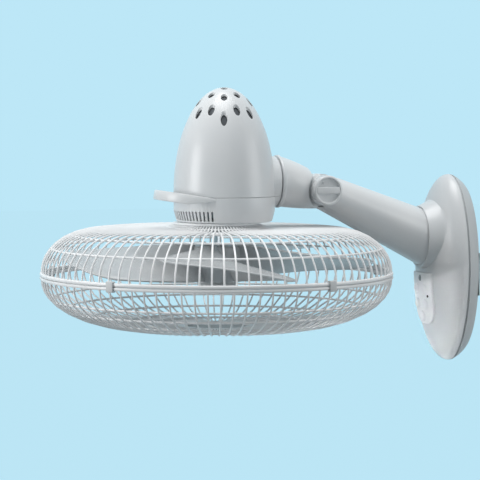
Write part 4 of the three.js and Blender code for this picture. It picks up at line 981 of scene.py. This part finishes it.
def makeBlades():
    bpy.ops.mesh.primitive_grid_add(x_subdivisions=blades["along"], y_subdivisions=blades["across"], size=2)
    leaf = named("fan_blade")
    startEdit(leaf)
    mesh = bmesh.from_edit_mesh(leaf.data)
    for vertex in mesh.verts:
        vertex.co = Vector(leafPoint((vertex.co.x + 1) / 2, (vertex.co.y + 1) / 2)) * mm
    bmesh.update_edit_mesh(leaf.data)
    endEdit()
    modify(leaf, "SOLIDIFY", thickness=blades["thick"] * mm, offset=0)
    soften(leaf, 0.7, angle=60, segments=2)
    spinCopies(leaf, blades["count"])
    top, low, r = blades["hubTop"], blades["hubLow"], blades["hub"]
    hub = ringForm("hub", [
        (r + 2, low), (r + 2, low + 0.6), (r, top - 2.5), (r - 0.7, top - 0.8), (r - 2.4, top), (16, top),
        (15.2, top - 0.8), (15, top - 10), (5.4, top - 10),
    ], 96)
    carve(hub, bar("shaftBore", "z", 5.3, low - 5, top + 5, (0, 0), 32))
    carve(hub, ringForm("room", [(r - 1, low - 1), (r - 3, top - 14)], 64))
    whole = joinAll([leaf, hub])
    inside = [(r - 1.2, low - 30), (r - 1.2, low + 0.2), (r - 3.2, top - 14.2)]
    carve(whole, ringForm("insideHub", inside, 64))
    lay(whole, move=(0, shaftY, 0))
    # the blades' darkened grey is partly painted shade
    finishPiece(whole, "rotor", styrene, ["fan_blades"], angle=45)

    rounding = [0.15 + 0.2 * i for i in range(7)]
    cap = ringForm("spinner_cap", [
        (23, low - 0.3), (23.7, low - 0.6), (24, low - 1.2), (24, low - 4.3),
        *[(24 * math.cos(t), low - 4.3 - 11 * math.sin(t)) for t in rounding],
        (0, low - 15.3),
    ], 96)
    carve(cap, bar("bore", "z", 5.3, low - 9.6, low + 5, (0, 0), 32))
    lay(cap, move=(0, shaftY, 0))
    finishPiece(cap, "rotor", gripAbs, ["blade_spinner"])
    print("blades and spinner made")


makeBlades()

# ---- light, floor and backdrop
studio = {"backdrop": "#bde7f7", "floorZ": -0.9, "world": 0.30, "glow": 0.97}
# each lamp: where it stands, what it faces (metres), its width and height, how many degrees its
# light spreads over, its power in watts
lamps = {
    "top": ((0.15, -0.5, 2.1), (0, -0.3, 0.05), (1.4, 1.4), 180, 38.0),
    "left": ((0.1, -2.9, 0.35), (0, -0.3, 0.05), (1.1, 1.4), 180, 36.0),
    "low": ((0.4, -1.6, -0.62), (0.01, -0.06, -0.13), (0.2, 0.2), 9, 0.09),
    "right": ((1.4, 1.8, 0.45), (0, -0.2, 0.05), (1.3, 1.5), 180, 19.0),
}


def addLamp(name, place, aim, size, spread, power):
    facing = (Vector(place) - Vector(aim)).to_track_quat("Z", "Y").to_euler()
    bpy.ops.object.light_add(type="AREA", location=place, rotation=facing)
    lamp = bpy.context.active_object
    lamp.name = f"lamp_{name}"
    lamp.data.shape = "RECTANGLE"
    lamp.data.size, lamp.data.size_y = size
    lamp.data.spread = math.radians(spread)
    lamp.data.energy = power


# 1 for what the camera sees itself, in a shiny surface or through a clear one, else 0.
def seenRays(tree):
    path = addNode(tree, "ShaderNodeLightPath").outputs
    seen = path["Is Camera Ray"]
    for kind in ("Is Glossy Ray", "Is Transmission Ray"):
        seen = addNode(tree, "ShaderNodeMath", [(0, seen), (1, path[kind])], operation="MAXIMUM").outputs[0]
    return seen


# The camera and shiny faces see the flat pale blue of the backdrop; a neutral dome lights the fan.
def addWorld():
    world = bpy.data.worlds.new("studio")
    bpy.context.scene.world = world
    world.use_nodes = True
    tree = world.node_tree
    soft = tree.nodes["Background"]
    soft.inputs["Color"].default_value = linear("#ffffff")
    soft.inputs["Strength"].default_value = studio["world"]
    seen = addNode(tree, "ShaderNodeBackground", Color=linear(studio["backdrop"]), Strength=1.0)
    mix = addNode(tree, "ShaderNodeMixShader", [
        (0, seenRays(tree)), (1, soft.outputs[0]), (2, seen.outputs[0]),
    ])
    tree.links.new(tree.nodes["World Output"].inputs["Surface"], mix.outputs[0])


# The floor shows the backdrop's colour with the shadow in it, and throws back neutral light.
def addFloor():
    bpy.ops.mesh.primitive_plane_add(size=40, location=(0, 0, studio["floorZ"]))
    floor = named("floor")
    paper = bpy.data.materials.new("floor paper")
    paper.use_nodes = True
    tree = paper.node_tree
    matt = tree.nodes["Principled BSDF"]
    matt.inputs["Base Color"].default_value = linear("#909293")
    matt.inputs["Roughness"].default_value = 0.9
    shade = addNode(tree, "ShaderNodeBsdfDiffuse", Color=linear("#e9ffff"))
    glow = addNode(tree, "ShaderNodeEmission", Color=linear(studio["backdrop"]), Strength=1.0)
    seen = addNode(tree, "ShaderNodeMixShader", [(1, shade.outputs[0]), (2, glow.outputs[0])])
    seen.inputs[0].default_value = studio["glow"]
    both = addNode(tree, "ShaderNodeMixShader", [
        (0, seenRays(tree)), (1, matt.outputs[0]), (2, seen.outputs[0]),
    ])
    tree.links.new(tree.nodes["Material Output"].inputs["Surface"], both.outputs[0])
    floor.data.materials.append(paper)


addWorld()
addFloor()
for name, settings in lamps.items():
    addLamp(name, *settings)
bpy.context.scene.view_settings.view_transform = "Standard"
print("studio lit")
